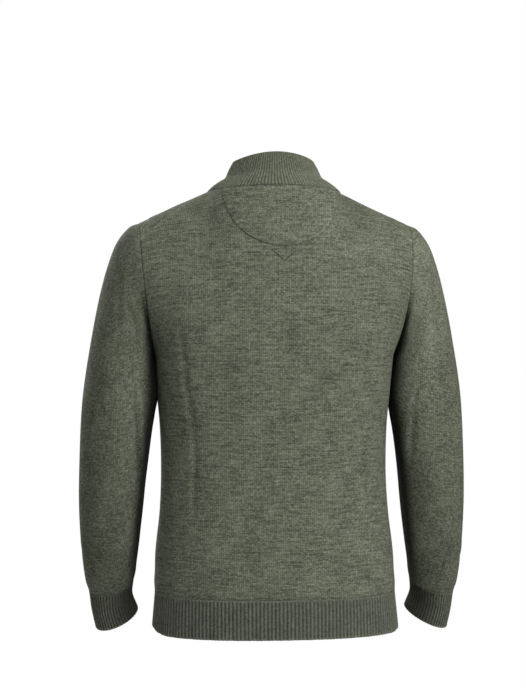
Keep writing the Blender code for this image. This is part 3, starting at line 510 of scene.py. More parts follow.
def quarter_section(half_width, depth, end_depth, squareness, shares):
    """A squarish quarter oval from its centre line out to end_depth, at shares of its length."""
    power = 2 / squareness
    end_turn = math.asin(min(1.0, (end_depth / depth) ** (1 / power)))
    turn = np.linspace(math.pi / 2, end_turn, SECTION_STEPS)
    across = half_width * np.abs(np.cos(turn)) ** power
    out = depth * np.abs(np.sin(turn)) ** power
    length = travelled(np.hypot(np.diff(across), np.diff(out)))
    at = shares * length[-1]
    return np.interp(at, length, across), np.interp(at, length, out)


def collar_point(ring, turn, face):
    """A point of a collar ring, from its centre line at turn 0 to its side at a quarter turn."""
    at_back = face == BACK_FACE
    centre_y, centre_z = (ring.back_y, ring.back_z) if at_back else (ring.front_y, ring.front_z)
    x = ring.side_x * np.sin(turn)
    y = ring.side_y + (centre_y - ring.side_y) * np.cos(turn)
    z = ring.side_z + (centre_z - ring.side_z) * np.cos(turn) ** 2
    return np.stack([x, y, z], axis=-1)


def sleeve_ring(ring, turn):
    """Points of a sleeve ring: the inner point at turn 0, the outer one at half a turn, the back between."""
    share = (1 - np.cos(turn)) / 2
    out = ring.half_depth * np.sin(turn)
    x = ring.in_x + (ring.out_x - ring.in_x) * share + ring.bulge * np.sin(turn) ** 2
    y = ring.mid_y + out + ring.lean * share
    z = ring.in_z + (ring.out_z - ring.in_z) * share - ring.drop * out
    return np.stack([x, y, z], axis=-1)


def armhole_point(rise, face):
    """The armhole seam from the underarm at rise 0 to the shoulder point at rise 1."""
    return sleeve_ring(SLEEVE[0], face * math.pi * rise)


def top_edge(shares, face):
    """The panel's upper edge: the neck seam out to the side of the neck, then the shoulder seam."""
    turn = np.clip(shares / NECK_SHARE, 0.0, 1.0) * math.pi / 2
    neck = collar_point(COLLAR[0], turn, face)
    out = np.clip((shares - NECK_SHARE) / (1 - NECK_SHARE), 0.0, 1.0)[:, None]
    return neck + out * (armhole_point(1.0, face) - neck)


def level_row(z, shares, face):
    """A row of half a panel below the underarm."""
    heights = column(TORSO, "z")
    half_width = spline(z, heights, column(TORSO, "half_width"))
    squareness = spline(z, heights, column(TORSO, "squareness"))
    x, out = quarter_section(half_width, centre_depth(z, face), 0.0, squareness, shares)
    return np.stack([x, face * out, np.full_like(x, z)], axis=-1)


def yoke_section(rise, shares, face):
    """A near level row of half the yoke, from the centre line out to the armhole."""
    arm = armhole_point(rise, face)
    top = COLLAR[0].back_z if face == BACK_FACE else COLLAR[0].front_z
    eased_rise = (1 - math.cos(math.pi * rise)) / 2
    climb = STEADY_CLIMB * rise + (1 - STEADY_CLIMB) * eased_rise
    centre_z = UNDERARM + (top - UNDERARM) * climb
    seam_y = SLEEVE[0].lean * eased_rise
    depth = centre_depth(centre_z, face) - face * seam_y
    end_depth = abs(arm[1] - seam_y)
    squareness = TORSO[-1].squareness + (YOKE_TOP_SQUARENESS - TORSO[-1].squareness) * rise
    half_width = arm[0] / (1 - (end_depth / depth) ** squareness) ** (1 / squareness)
    x, out = quarter_section(half_width, depth, end_depth, squareness, shares)
    z = arm[2] + (centre_z - arm[2]) * np.cos(shares * math.pi / 2) ** 2
    return np.stack([x, seam_y + face * out, z], axis=-1)


def yoke_row(rise, shares, face):
    """A row of half the yoke, blended from the level section below into the neck and shoulder edge above."""
    edge_slope = SHOULDER_SLOPE[face]
    section = yoke_section(rise, shares, face)
    edge = top_edge(shares, face)
    share = rise**3
    row = section + share * (edge - section)
    climb = 3 * (edge - yoke_section(1.0, shares, face))
    heading = np.array([0.0, -face * math.cos(edge_slope), math.sin(edge_slope)])
    wanted = SHOULDER_ROUNDNESS * np.linalg.norm(climb, axis=-1, keepdims=True) * heading
    near_shoulder = smooth_step(shares, SHOULDER_STARTS, NECK_SHARE)[:, None]
    row = row - near_shoulder * (wanted - climb) * (1 - rise) * rise**4
    to_centre = section[0] - row[0]
    to_arm = armhole_point(rise, face) - row[-1]
    return row + (1 - shares[:, None]) ** 3 * to_centre + shares[:, None] ** 3 * to_arm


def settled(grid, row, reach, passes):
    """The grid with its cloth eased across one row, all but its outer column."""
    ease = bell(np.arange(grid.shape[0]) - row, reach)[1:-1, None, None]
    ease = ease * (1 - np.linspace(0.0, 1.0, grid.shape[1]) ** EASED_EDGE)[None, :, None]
    for _ in range(passes):
        middle = (grid[:-2] + 2 * grid[1:-1] + grid[2:]) / 4
        grid = np.concatenate([grid[:1], grid[1:-1] + ease * (middle - grid[1:-1]), grid[-1:]])
    return grid


def row_places(level_rows, yoke_rows):
    """Where a panel's rows lie, counted in even rows from the hem rib. They are closer at the top."""
    last = level_rows + yoke_rows
    close = np.linspace(last - CLOSE_ROWS, last, CLOSE_STEPS + 1)
    return np.concatenate([np.arange(last - CLOSE_ROWS), close])


def row_rises(level_rows, yoke_rows):
    """How high each row is, from 0 at the underarm to 1 at the top."""
    return np.clip((row_places(level_rows, yoke_rows) - level_rows) / yoke_rows, 0.0, 1.0)


def plain_half(face, shares, level_rows, yoke_rows):
    """Half a panel up to the top of the shoulder, as rows of points from the hem rib."""
    levels = np.linspace(HEM_TOP, UNDERARM, level_rows + 1)[:-1]
    rises = np.linspace(0.0, 1.0, yoke_rows + 1)
    rows = [level_row(z, shares, face) for z in levels]
    rows += [yoke_row(rise, shares, face) for rise in rises]
    grid = settled(np.array(rows), level_rows, yoke_rows / EASED_OVER, yoke_rows // EASED_PASSES)
    return evened(grid, level_rows)


def evened(grid, first_row):
    """The grid with the bend below the side of the neck spread out, on all rows but the top one."""
    rises = np.clip((np.arange(len(grid)) - first_row) / (len(grid) - 1 - first_row), 0.0, 1.0)
    ease = (smooth_step(rises, *EVENED_RISES) * (1 - rises**2))[:, None, None]
    for _ in range(grid.shape[1] // EVENED_PASSES):
        middle = (grid[:, :-2] + 2 * grid[:, 1:-1] + grid[:, 2:]) / 4
        inner = grid[:, 1:-1] + ease * (middle - grid[:, 1:-1])
        grid = np.concatenate([grid[:, :1], inner, grid[:, -1:]], axis=1)
    return grid


def half_panel(face, column_count, level_rows, yoke_rows, centre_gap=0.0):
    """The outer face of half a panel as rows of points, from the hem rib up to the neck and shoulder seams.
    The fronts reach over the top of the shoulder, so that its seam runs a little down the back."""
    shares = np.linspace(0.0, 1.0, column_count + 1)
    grid = plain_half(face, shares, level_rows, yoke_rows)
    out = np.clip((shares - NECK_SHARE) / (1 - NECK_SHARE), 0.0, 1.0)
    over = -face * SHOULDER_SET_BACK * out**SET_BACK_CURVE
    rises = row_rises(level_rows, yoke_rows)
    moved = np.clip((rises - SET_BACK_FROM) / (1 - SET_BACK_FROM), 0.0, 1.0) ** 2
    line = grid
    if face == FRONT_FACE:
        beyond = plain_half(BACK_FACE, shares, level_rows, yoke_rows)[::-1][1 : yoke_rows // ROWS_BEYOND]
        line = np.concatenate([grid, beyond])
    way = travelled(np.linalg.norm(np.diff(line, axis=0), axis=-1))
    even, places = np.arange(len(grid)), row_places(level_rows, yoke_rows)
    columns = []
    for j in range(len(shares)):
        wanted = np.interp(places, even, way[: len(grid), j]) + moved * over[j]
        columns.append([np.interp(wanted, way[:, j], line[:, j, k]) for k in range(3)])
    grid = np.array(columns).transpose(2, 0, 1)
    at_neck = rises[:, None] ** 3
    grid[..., 0] += centre_gap * (1 - at_neck) * (1 - shares) ** 2
    grid[..., 0] += centre_gap * at_neck * np.clip(1 - shares / NECK_SHARE, 0.0, 1.0) ** 2
    return grid


def half_hem(face, columns, centre_gap=0.0):
    """The outer face of half the hem rib, from its lower edge up to the panel."""
    shares = np.linspace(0.0, 1.0, columns + 1)
    heights = np.linspace(TORSO[0].z, HEM_TOP, HEM_ROWS + 1)
    grid = np.array([level_row(z, shares, face) for z in heights])
    shorter = HEM_SIDE_RISE / (HEM_TOP - TORSO[0].z) * smooth_step(shares, HEM_RISES_FROM, 1.0)
    grid += shorter[None, :, None] * (grid[-1:] - grid)
    grid[..., 0] += centre_gap * (1 - shares) ** 2
    return grid


def collar_ring(ring, turn):
    """The left half of a collar ring, from the centre back at turn 0 to the front edge at half a turn."""
    back = collar_point(ring, np.minimum(turn, math.pi / 2), BACK_FACE)
    left = np.clip(math.pi - turn, 0.0, math.pi / 2)
    front = collar_point(ring, left, FRONT_FACE)
    front[:, 0] += ZIP_GAP_HALF * (1 - left / (math.pi / 2)) ** 2
    return np.where((turn <= math.pi / 2)[:, None], back, front)


def half_collar(columns):
    """The outer face of the collar's left half, with its ribs evenly spaced where it stands up."""
    turn = np.linspace(0.0, math.pi, SECTION_STEPS)
    standing = collar_ring(COLLAR[EVEN_RING], turn)
    length = travelled(np.linalg.norm(np.diff(standing, axis=0), axis=-1))
    even = np.interp(np.linspace(0.0, length[-1], columns + 1), length, turn)
    places = np.linspace(0.0, len(COLLAR) - 1.0, COLLAR_ROWS + 1)
    return np.array([collar_ring(between_rings(COLLAR, at), even) for at in places])


def sleeve_grid(low, high, rows, columns):
    """The left sleeve's outer face in closed rings up from one table row to another."""
    turn = np.linspace(0.0, 2 * math.pi, columns + 1)
    places = np.linspace(low, high, rows + 1)
    return np.array([sleeve_ring(between_rings(SLEEVE, at), turn) for at in places])


def mirrored(grid):
    """The same points or directions for the wearer's right side."""
    return grid * np.array([-1.0, 1.0, 1.0])


def whole_width(half, sign=1):
    """A half grid joined with its mirror image across the centre plane. sign turns plain numbers over."""
    other = mirrored(half[:, :0:-1]) if half.ndim == 3 else sign * half[:, :0:-1]
    return np.concatenate([other, half], axis=1)


def outward(grid, around, centres):
    """Unit normals from a grid's steps around it and up it, turned to point away from the centres."""
    normals = unit(np.cross(around, np.gradient(grid, axis=0)))
    return normals * np.sign(((grid - centres) * normals).sum())


def open_normals(grid):
    """The outward normals of a grid that wraps round the body with open edges."""
    return outward(grid, np.gradient(grid, axis=1), grid * np.array([0.0, 0.0, 1.0]))


def tube_normals(grid):
    """The outward normals of a closed grid, whose last column repeats its first."""
    ring = grid[:, :-1]
    around = np.roll(ring, -1, axis=1) - np.roll(ring, 1, axis=1)
    normals = outward(ring, around, ring.mean(axis=1, keepdims=True))
    return np.concatenate([normals, normals[:, :1]], axis=1)


def stitch_places(grid, weights=(1.0, 1.0, 0.0), from_middle=False):
    """How far each point lies across its row, from its first point or its middle one, and up its column. The
    weights say how much a step in x, y and z counts across. Where they leave y out, the columns of stitches
    keep straight up while the rows of points turn."""
    lengths = np.sqrt((np.diff(grid, axis=1) ** 2 * weights).sum(axis=-1))
    across = travelled(lengths.T).T
    if from_middle:
        across -= across[:, -1:] / 2
    climb = (np.diff(grid, axis=0) ** 2).sum(axis=-1)
    aside = np.diff(across, axis=0) ** 2
    return across, travelled(np.sqrt(np.maximum(climb - aside, LEAST_CLIMB * climb)))


def trough(across, along, places, width, depth):
    """How far the cloth sinks along a line of places. The trough fades out at both ends of it."""
    ends = list(zip(places, places[1:]))
    lengths = [math.dist(start, end) for start, end in ends]
    sunk = np.zeros_like(across)
    nearest = np.full_like(across, np.inf)
    passed = 0.0
    for (start, end), length in zip(ends, lengths):
        step = (end[0] - start[0], end[1] - start[1])
        t = ((across - start[0]) * step[0] + (along - start[1]) * step[1]) / length**2
        t = np.clip(t, 0.0, 1.0)
        aside = across - start[0] - t * step[0], along - start[1] - t * step[1]
        away = np.hypot(*aside)
        side = np.sign(aside[0] * step[1] - aside[1] * step[0])
        ending = np.sin(math.pi * np.clip((passed + t * length) / sum(lengths), 0.0, 1.0)) ** CREASE_FADE
        nearer = away < nearest
        nearest = np.where(nearer, away, nearest)
        beside = bell(away * side + RIDGE_AWAY * width, width)
        sunk = np.where(nearer, depth * ending * (bell(away, width) - RIDGE_SHARE * beside), sunk)
        passed += length
    return sunk


def creased(grid, creases):
    """How far a panel sinks into all its creases."""
    x, z = grid[..., 0], grid[..., 2]
    sunk = np.zeros_like(x)
    for c in creases:
        places = smooth_line((c.top_x, c.top_z), (c.mid_x, c.mid_z), (c.low_x, c.low_z))
        sunk += trough(x, z, places, c.width, c.depth)
    return sunk


def smooth_line(first, middle, last):
    """A gentle curve through three places."""
    ways = np.linspace(0.0, 2.0, CREASE_STEPS + 1)
    parts = [spline(ways, np.arange(3.0), np.array(part)) for part in zip(first, middle, last)]
    return list(zip(*parts))


def folded(turn, way, folds):
    """How far a sleeve sinks into its folds."""
    degree = SLEEVE_ROUND / 360
    sunk = np.zeros_like(way)
    for f in folds:
        top, mid, low = f.top_turn * degree, f.mid_turn * degree, f.low_turn * degree
        places = smooth_line((top, f.top_way), (mid, f.mid_way), (low, f.low_way))
        for shift in (-360, 0, 360):
            sunk += trough((turn + shift) * degree, way, places, f.width, f.depth)
    return sunk


def drape(across, along, seed):
    """Slow uneven swells of worn cloth, from -1 to 1."""
    waves = sum(np.sin(a * across + b * along + c + seed) for a, b, c in SWELL_WAVES)
    return waves / len(SWELL_WAVES)


def ribbed(cycles):
    """The height of a rib at a count of ribs across, from 0 in its groove to 1 along its crest."""
    return (0.5 + 0.5 * np.cos(2 * math.pi * cycles)) ** RIB_FULLNESS


def cabled(across, along, knit):
    """The height of the cables over the ground, the stitch places across the strand that lies on top, and
    how purl the ground between them is."""
    height, stitch_across = np.zeros_like(across), across.copy()
    purl = smooth_step(across, EDGE_BAND - GROUND_EDGE, EDGE_BAND + GROUND_EDGE)
    purl *= fade(across, SIDE_PLAIN - GROUND_EDGE, SIDE_PLAIN + GROUND_EDGE)
    for c in CABLES:
        first_stitch = knit.wale * round(c.middle / knit.wale)
        for k in range(c.strands):
            turn = 2 * math.pi * (along / c.turn + k / c.strands)
            if c.strands == 2:
                middle, over = c.swing * np.cos(turn), np.sin(turn)
            else:
                middle, over = c.swing * np.sin(turn), np.sin(2 * turn)
            aside = (across - c.middle - middle) / c.half_strand
            body = CABLE_BODY + np.sqrt(np.clip(1 - aside**2, 0.0, 1.0))
            strand = np.maximum(knit.cable_lift * body + CABLE_LIFT * over, 0.0)
            strand = np.where(np.abs(aside) < 1, strand, 0.0)
            on_top = strand > height
            height = np.where(on_top, strand, height)
            stitch_across = np.where(on_top, first_stitch + aside * c.half_strand, stitch_across)
            purl = np.where(on_top, 0.0, purl)
    return height, stitch_across, purl


def swayed(points):
    """The points moved aside as the garment leans."""
    below = np.clip((UNDERARM - points[..., 2:]) / SWAY_DROP, 0.0, None)
    return points - SWAY * below**2 * np.array([1.0, 0.0, 0.0])


def rounded(outer, inner, beyond, roundness):
    """Two lines past an edge, one for each face, so that the edge between them is round."""
    middle = (outer + inner) / 2
    half = (outer - inner) / 2
    out = roundness * np.linalg.norm(half, axis=-1, keepdims=True) * beyond
    return middle + EDGE_FULLNESS * half + out, middle - EDGE_FULLNESS * half + out


def cells(rows, columns):
    """The corners of each cell of a grid, once round it, as its rows' and columns' numbers."""
    i, j = (part.ravel() for part in np.indices((rows, columns)))
    return (i, j), (i, j + 1), (i + 1, j + 1), (i + 1, j)


class Cloth:
    """One knitted piece as rows of points up its outer and inner faces, with the places of its stitches, how
    light it is from painted shade, painted highlights and seam marks, and its purl ground. A closed piece
    repeats its first column as its last."""

    def __init__(self, outer, inner, across, along, relief, purl=None, closed=False):
        self.rows = {
            "outer": outer, "inner": inner, "across": across, "along": along, "relief": relief,
            "purl": np.zeros_like(across) if purl is None else purl,
        }
        self.closed = closed

    def round_end(self, at):
        """Rounds the open edge at the first column, 0, or the last, -1."""
        inside = 1 if at == 0 else -2
        rows = self.rows
        beyond = unit(rows["outer"][:, at] - rows["outer"][:, inside])
        outer, inner = rounded(rows["outer"][:, at], rows["inner"][:, at], beyond, END_ROUNDNESS)
        step = np.sign(rows["across"][:, at] - rows["across"][:, inside]) * EDGE_STEP
        added = {name: values[:, at] for name, values in rows.items()}
        added.update(outer=outer, inner=inner, across=rows["across"][:, at] + step)
        for name, column_values in added.items():
            pair = [column_values[:, None], rows[name]]
            rows[name] = np.concatenate(pair if at == 0 else pair[::-1], axis=1)

    def build(self, name, look, slot, roundness):
        """Makes the mesh as a loop up the outer face and down the inner one, and sets it on its body."""
        outer, inner, across, along, relief, purl = self.rows.values()
        low = rounded(outer[0], inner[0], unit(outer[0] - outer[1]), roundness[0])
        top = rounded(outer[-1], inner[-1], unit(outer[-1] - outer[-2]), roundness[1])
        points = np.concatenate([outer, [top[0], top[1]], inner[::-1], [low[1], low[0]]])
        across = np.concatenate([across, [across[-1]] * 2, across[::-1], [across[0]] * 3])
        turned = 2 * along[-1] + 3 * EDGE_STEP - along[::-1]
        steps = np.array([1, 2, 3])[:, None] * EDGE_STEP
        along = np.concatenate([along, along[-1] + steps[:2], turned, turned[-1] + steps])
        relief = np.concatenate([relief, [relief[-1]] * 2, relief[::-1], [relief[0]] * 2])
        purl = np.concatenate([purl, [purl[-1]] * 2, np.ones_like(purl), [purl[0]] * 2])
        if self.closed:
            points, relief, purl = points[:, :-1], relief[:, :-1], purl[:, :-1]
        count, columns = points.shape[:2]
        around = cells(count, across.shape[1] - 1)
        faces = np.stack([(a % count) * columns + b % columns for a, b in around], axis=-1)
        corners = np.stack([np.stack([across[a, b], along[a, b]], axis=-1) for a, b in around], axis=1)
        if not self.closed:
            end_faces = np.concatenate([self.end_faces(count, columns, at) for at in (0, columns - 1)])
            at_ends = (end_faces // columns, end_faces % columns)
            end_corners = np.stack([across[at_ends], along[at_ends]], axis=-1)
            faces = np.concatenate([faces, end_faces])
            corners = np.concatenate([corners, end_corners])
        made = mesh_object(name, swayed(points.reshape(-1, 3)), faces, corners)
        add_values(made, SHADE_AND_MARKS, relief.ravel())
        add_values(made, PURL, purl.ravel())
        return dressed(made, look, BODY)

    @staticmethod
    def end_faces(count, columns, at):
        """The faces that close the first or last column. The loop has two more rows round each edge."""
        rows = (count - 4) // 2
        low = 2 * rows + 1
        loops = [(k, k + 1, low - k - 1, low - k) for k in range(rows - 1)]
        loops += [(rows - 1, rows, rows + 1, rows + 2), (low, low + 1, low + 2, 0)]
        faces = np.array(loops) * columns + at
        return faces if at == 0 else faces[:, ::-1]


def mesh_object(name, points, faces, corners=None):
    """A smooth mesh of four-cornered faces, facing out, with its stitch places at the corners."""
    mesh = bpy.data.meshes.new(name)
    mesh.vertices.add(len(points))
    mesh.vertices.foreach_set("co", np.asarray(points, np.float32).ravel())
    mesh.loops.add(faces.size)
    mesh.loops.foreach_set("vertex_index", np.asarray(faces, np.int32).ravel())
    mesh.polygons.add(len(faces))
    mesh.polygons.foreach_set("loop_start", np.arange(0, faces.size, faces.shape[1], dtype=np.int32))
    mesh.update(calc_edges=True)
    if corners is not None:
        layer = mesh.uv_layers.new(name=STITCH_MAP)
        layer.data.foreach_set("uv", np.asarray(corners, np.float32).ravel())
    made = bpy.data.objects.new(name, mesh)
    bpy.context.scene.collection.objects.link(made)
    volume = signed_volume(np.asarray(points), np.asarray(faces))
    if volume < 0:
        mesh.flip_normals()
    mesh.shade_smooth()
    return made


def signed_volume(points, faces):
    """The volume inside the faces, below zero where they face in."""
    a = points[faces[:, 0]]
    total = 0.0
    for k in range(1, faces.shape[1] - 1):
        b, c = points[faces[:, k]], points[faces[:, k + 1]]
        total += (a * np.cross(b, c)).sum() / 6
    return total


def add_values(made, name, values):
    """A number for each point of a mesh."""
    layer = made.data.attributes.new(name, "FLOAT", "POINT")
    layer.data.foreach_set("value", np.asarray(values, np.float32))


def dressed(made, look, body):
    """Gives a piece its material, and sets it on its body."""
    made.data.materials.clear()
    made.data.materials.append(look)
    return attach(made, body)


class Signal:
    """A value that varies over a surface, with the usual arithmetic."""

    def __init__(self, look, socket):
        self.look, self.socket = look, socket

    def __add__(self, other):
        return self.look.maths("ADD", self, other)

    __radd__ = __add__

    def __sub__(self, other):
        return self.look.maths("SUBTRACT", self, other)

    def __rsub__(self, other):
        return self.look.maths("SUBTRACT", other, self)

    def __mul__(self, other):
        return self.look.maths("MULTIPLY", self, other)

    __rmul__ = __mul__

    def __truediv__(self, other):
        return self.look.maths("DIVIDE", self, other)

    def __pow__(self, other):
        return self.look.maths("POWER", self, other)

    def __abs__(self):
        return self.look.maths("ABSOLUTE", self)

    def whole(self):
        """The whole number below it."""
        return self.look.maths("FLOOR", self)

    def part(self):
        """What it is above the whole number below it."""
        return self.look.maths("FRACT", self)

    def sine(self):
        """Its sine, for an angle in radians."""
        return self.look.maths("SINE", self)

    def kept(self):
        """The same, kept from 0 to 1."""
        return self.look.node("ShaderNodeClamp", {}, {"Value": self})

    def other(self, output):
        """Another output of the same node."""
        return Signal(self.look, self.socket.node.outputs[output])


class Nodes:
    """A node tree in the making."""

    def __init__(self, tree):
        self.tree = tree

    def node(self, kind, settings=None, inputs=None, output=0):
        """Adds a node: first its settings, then the values or links of its sockets."""
        made = self.tree.nodes.new(kind)
        for name, value in (settings or {}).items():
            setattr(made, name, value)
        for place, value in (inputs or {}).items():
            self.put(made.inputs[place], value)
        return Signal(self, made.outputs[output])

    def put(self, socket, value):
        """Links or sets one socket."""
        if isinstance(value, Signal):
            self.tree.links.new(value.socket, socket)
        else:
            socket.default_value = value

    def maths(self, operation, *values):
        """Arithmetic on numbers."""
        return self.node("ShaderNodeMath", {"operation": operation}, dict(enumerate(values)))

    def mixed(self, share, first, second):
        """A colour between two colours."""
        inputs = dict(zip(MIX_INPUTS, (share, first, second)))
        return self.node("ShaderNodeMix", {"data_type": "RGBA"}, inputs, output=MIX_OUTPUT)

    def toned(self, share, colour, tones):
        """A colour between its darkest and its lightest tone."""
        dark, light = tones
        return self.mixed(share, colour4(colour, dark), colour4(colour, light))

    def scaled(self, colour, factor):
        """A colour made lighter or darker."""
        return self.node("ShaderNodeVectorMath", {"operation": "SCALE"}, {"Vector": colour, "Scale": factor})

    def vector(self, x, y, z=0.0):
        """Three numbers as a vector."""
        return self.node("ShaderNodeCombineXYZ", {}, {"X": x, "Y": y, "Z": z})

    def noise(self, vector, scale, detail=2.0, roughness=0.5):
        """Soft noise about one half."""
        inputs = {"Vector": vector, "Scale": scale, "Detail": detail, "Roughness": roughness}
        return self.node("ShaderNodeTexNoise", {"noise_dimensions": "3D"}, inputs)

    def speckle(self, vector):
        """A value from 0 to 1 that differs from cell to cell."""
        return self.node("ShaderNodeTexWhiteNoise", {"noise_dimensions": "2D"}, {"Vector": vector})

    def stored(self, name):
        """A number stored on the mesh."""
        return self.node("ShaderNodeAttribute", {"attribute_name": name}, output="Fac")

    def bumped(self, height, strength, relief):
        """A fine relief that follows a height."""
        inputs = {"Strength": strength, "Distance": relief, "Height": height}
        return self.node("ShaderNodeBump", {}, inputs)


class Look(Nodes):
    """A material in the making."""

    def __init__(self, name, **constants):
        self.material = bpy.data.materials.new(name)
        self.material.use_nodes = True
        super().__init__(self.material.node_tree)
        self.shader = self.tree.nodes["Principled BSDF"]
        for socket, value in constants.items():
            self.shader.inputs[socket.replace("_", " ")].default_value = value

    def ends(self, **inputs):
        """Links what varies into the shader, and returns the material."""
        for socket, value in inputs.items():
            self.put(self.shader.inputs[socket.replace("_", " ")], value)
        return self.material


def colour4(colour, share=1.0):
    """A colour as four numbers, made lighter or darker."""
    return (*(min(1.0, part * share) for part in colour), 1.0)


def knitted(name, colour, sizes, yarn):
    """Knitted wool: rows of slanting loops, in a yarn of mixed light and dark fibres."""
    look = Look(name, Roughness=0.95, Sheen_Weight=0.03, Sheen_Roughness=0.45, Specular_IOR_Level=0.10)
    place = look.node("ShaderNodeUVMap", {"uv_map": STITCH_MAP})
    across = look.node("ShaderNodeSeparateXYZ", {}, {"Vector": place})
    along = across.other("Y")
    wale, course = across / sizes.wale, along / sizes.course
    aside = abs(wale.part() - 0.5) * 2
    leg = 1 - (aside * 2 - 1) ** 2
    lifted = course + aside * LOOP_SLANT
    loop = (lifted.part() * math.pi).sine() * (1 - LOOP_HOLLOW) + LOOP_HOLLOW
    knit = (leg.kept() ** LOOP_CURVE) * loop
    bow = (wale * (2 * math.pi)).sine() * PURL_BOW
    purl = ((course + bow).part() * math.pi).sine() ** PURL_CURVE
    height = (knit + look.stored(PURL) * (purl - knit)).kept()

    slub = look.noise(look.vector(across / yarn.slub_long, along / yarn.slub_high), 1.0)
    fleck_place = look.vector(across / yarn.fleck_long, along / yarn.fleck_high, FLECK_LAYER)
    fleck = look.noise(fleck_place, 1.0, roughness=FLECK_ROUGHNESS)
    cloud = look.noise(look.vector(across, along), CLOUD_SCALE)
    stitch = look.speckle(look.vector(wale.whole(), lifted.whole()))
    tone = (slub - 0.5) * yarn.slubs + ((fleck - FLECK_FROM).kept() - FLECK_MEAN) * yarn.flecks
    tone = tone + (stitch - 0.5) * yarn.stitches + (cloud - 0.5) * yarn.clouds
    base = (1 - yarn.dark) / (yarn.light - yarn.dark)
    pale = [part * (1 - PALE_FIBRE) + PALE_FIBRE * max(colour) for part in colour]
    shade = look.mixed((tone + base).kept(), colour4(colour, yarn.dark), colour4(pale, yarn.light))
    # The values stored on the mesh darken or lighten the yarn: painted shade and highlights, and seam and
    # stitch marks.
    sunk = (1 - yarn.groove) + look.stored(SHADE_AND_MARKS) * yarn.groove
    # Painted shade between the columns of stitches and in the hollows of the loops.
    column_shade = 1 - (aside**3) * yarn.column
    hollow = height * HOLLOW_SHADE + (1 - HOLLOW_SHADE / 2)
    shade = look.scaled(shade, sunk * column_shade * hollow)
    return look.ends(Base_Color=shade, Normal=look.bumped(height, STITCH_BUMP, sizes.stitch_relief))


def woven_tape(name, colour):
    """The zip's woven tape, with fine ridges along it."""
    look = Look(name, Roughness=0.8, Sheen_Weight=0.1, Specular_IOR_Level=0.3)
    place = look.node("ShaderNodeTexCoord", {}, output="Object")
    across = look.node("ShaderNodeSeparateXYZ", {}, {"Vector": place})
    along = across.other("Z")
    waving = (along / TAPE_WAVE).sine() * TAPE_WAVING
    ridge = ((across / TAPE_RIDGE + waving) * (2 * math.pi)).sine() * 0.5 + 0.5
    weft = ((along / TAPE_WEFT) * (2 * math.pi)).sine() * 0.5 + 0.5
    height = ridge * RIDGE_PART + weft * (1 - RIDGE_PART)
    share = (look.noise(place, TAPE_GRAIN) * GRAIN_PART + height * (1 - GRAIN_PART)).kept()
    return look.ends(
        Base_Color=look.toned(share, colour, TAPE_TONES),
        Normal=look.bumped(height, TAPE_BUMP, TAPE_RELIEF),
    )


def antique_metal(name, colour):
    """Dull metal, brighter where it is rubbed."""
    look = Look(name, Metallic=1.0, Specular_IOR_Level=0.5)
    place = look.node("ShaderNodeTexCoord", {}, output="Object")
    tarnish = look.noise(place, TARNISH_GRAIN, TARNISH_DETAIL, TARNISH_ROUGHNESS)
    fine = look.noise(place, SCRATCH_GRAIN)
    share = (tarnish * TARNISH_SPREAD - TARNISH_FROM).kept()
    return look.ends(
        Base_Color=look.toned(share, colour, METAL_TONES),
        Roughness=METAL_ROUGHNESS - share * RUBBED + (fine - 0.5) * SCRATCHED,
        Normal=look.bumped(fine, METAL_BUMP, METAL_RELIEF),
    )


def plain_floor(name, colour):
    """The pale floor."""
    look = Look(name, Roughness=0.9, Specular_IOR_Level=0.1)
    place = look.node("ShaderNodeTexCoord", {}, output="Object")
    return look.ends(Base_Color=look.toned(look.noise(place, FLOOR_GRAIN), colour, FLOOR_TONES))


def knit_sizes():
    """The sizes of the stitches and of what stands out on the cloth."""
    return bpy.context.scene.cardigan_knit


def sided(grid, side):
    """A left-hand grid as it is, or turned over for the right."""
    return grid if side == LEFT else mirrored(grid)


def sleeved(grid, side):
    """A left-hand sleeve grid on its own side, with its forearm hung lower."""
    grid = sided(grid, side).copy()
    grid[..., 2] -= HANGS_LOWER[side] * smooth_step(-grid[..., 2], *LOWER_ARM)
    return grid


def raised(grid, normals, height):
    """The grid moved out along its normals."""
    return grid + height[..., None] * normals


def from_seams(*distances):
    """How far the nearest seam is."""
    return np.minimum.reduce(np.broadcast_arrays(*distances))


def on_seam(away):
    """1 on a seam, falling away beside it."""
    return fade(away, 0.0, SEAM_WIDTH) ** 2


def rolled_in(away):
    """How far the cloth dips into a seam that lies this far away."""
    return SEAM_DEPTH * on_seam(away)


def seam_shade(away, dark):
    """How light the cloth is beside a seam, where 1 is open cloth."""
    return 1 - dark * on_seam(away)


def neck_stitches(to_neck, across):
    """The sewn stitches that run a little below the neck seam."""
    dashes = 0.5 + 0.5 * np.sin(across * 2 * math.pi / NECK_STITCH)
    return dashes * drawn(to_neck, NECK_SEWING)


def panel_places(half, level_rows, yoke_rows):
    """The stitch places of half a panel, how far each point is from a seam at its side or its top, and how
    light the cloth is there, with painted highlights beside the armhole and shoulder seams."""
    rises = row_rises(level_rows, yoke_rows)
    weights = np.stack([np.ones_like(rises), fade(rises, *STITCHES_TURN), np.zeros_like(rises)], axis=-1)
    across, along = stitch_places(half, weights[:, None])
    to_side, to_top = across[:, -1:] - across, along[-1:] - along
    away = from_seams(to_side, to_top)
    at_neck = (np.arange(half.shape[1]) <= NECK_SHARE * (half.shape[1] - 1))[None]
    at_arm = seam_shade(to_side, ARM_SEAM_DARK) * seam_shade(to_top, SHOULDER_SEAM_DARK)
    shade = np.where(at_neck, seam_shade(away, NECK_SEAM_DARK), at_arm)
    # Painted highlights beside the armhole seam and the shoulder seam.
    shade += drawn(to_side, ARM_SEAM_HIGHLIGHT) * rises[:, None]
    shade += np.where(at_neck, neck_stitches(to_top, across), drawn(to_top, SHOULDER_SEAM_HIGHLIGHT))
    return across, along, away, shade


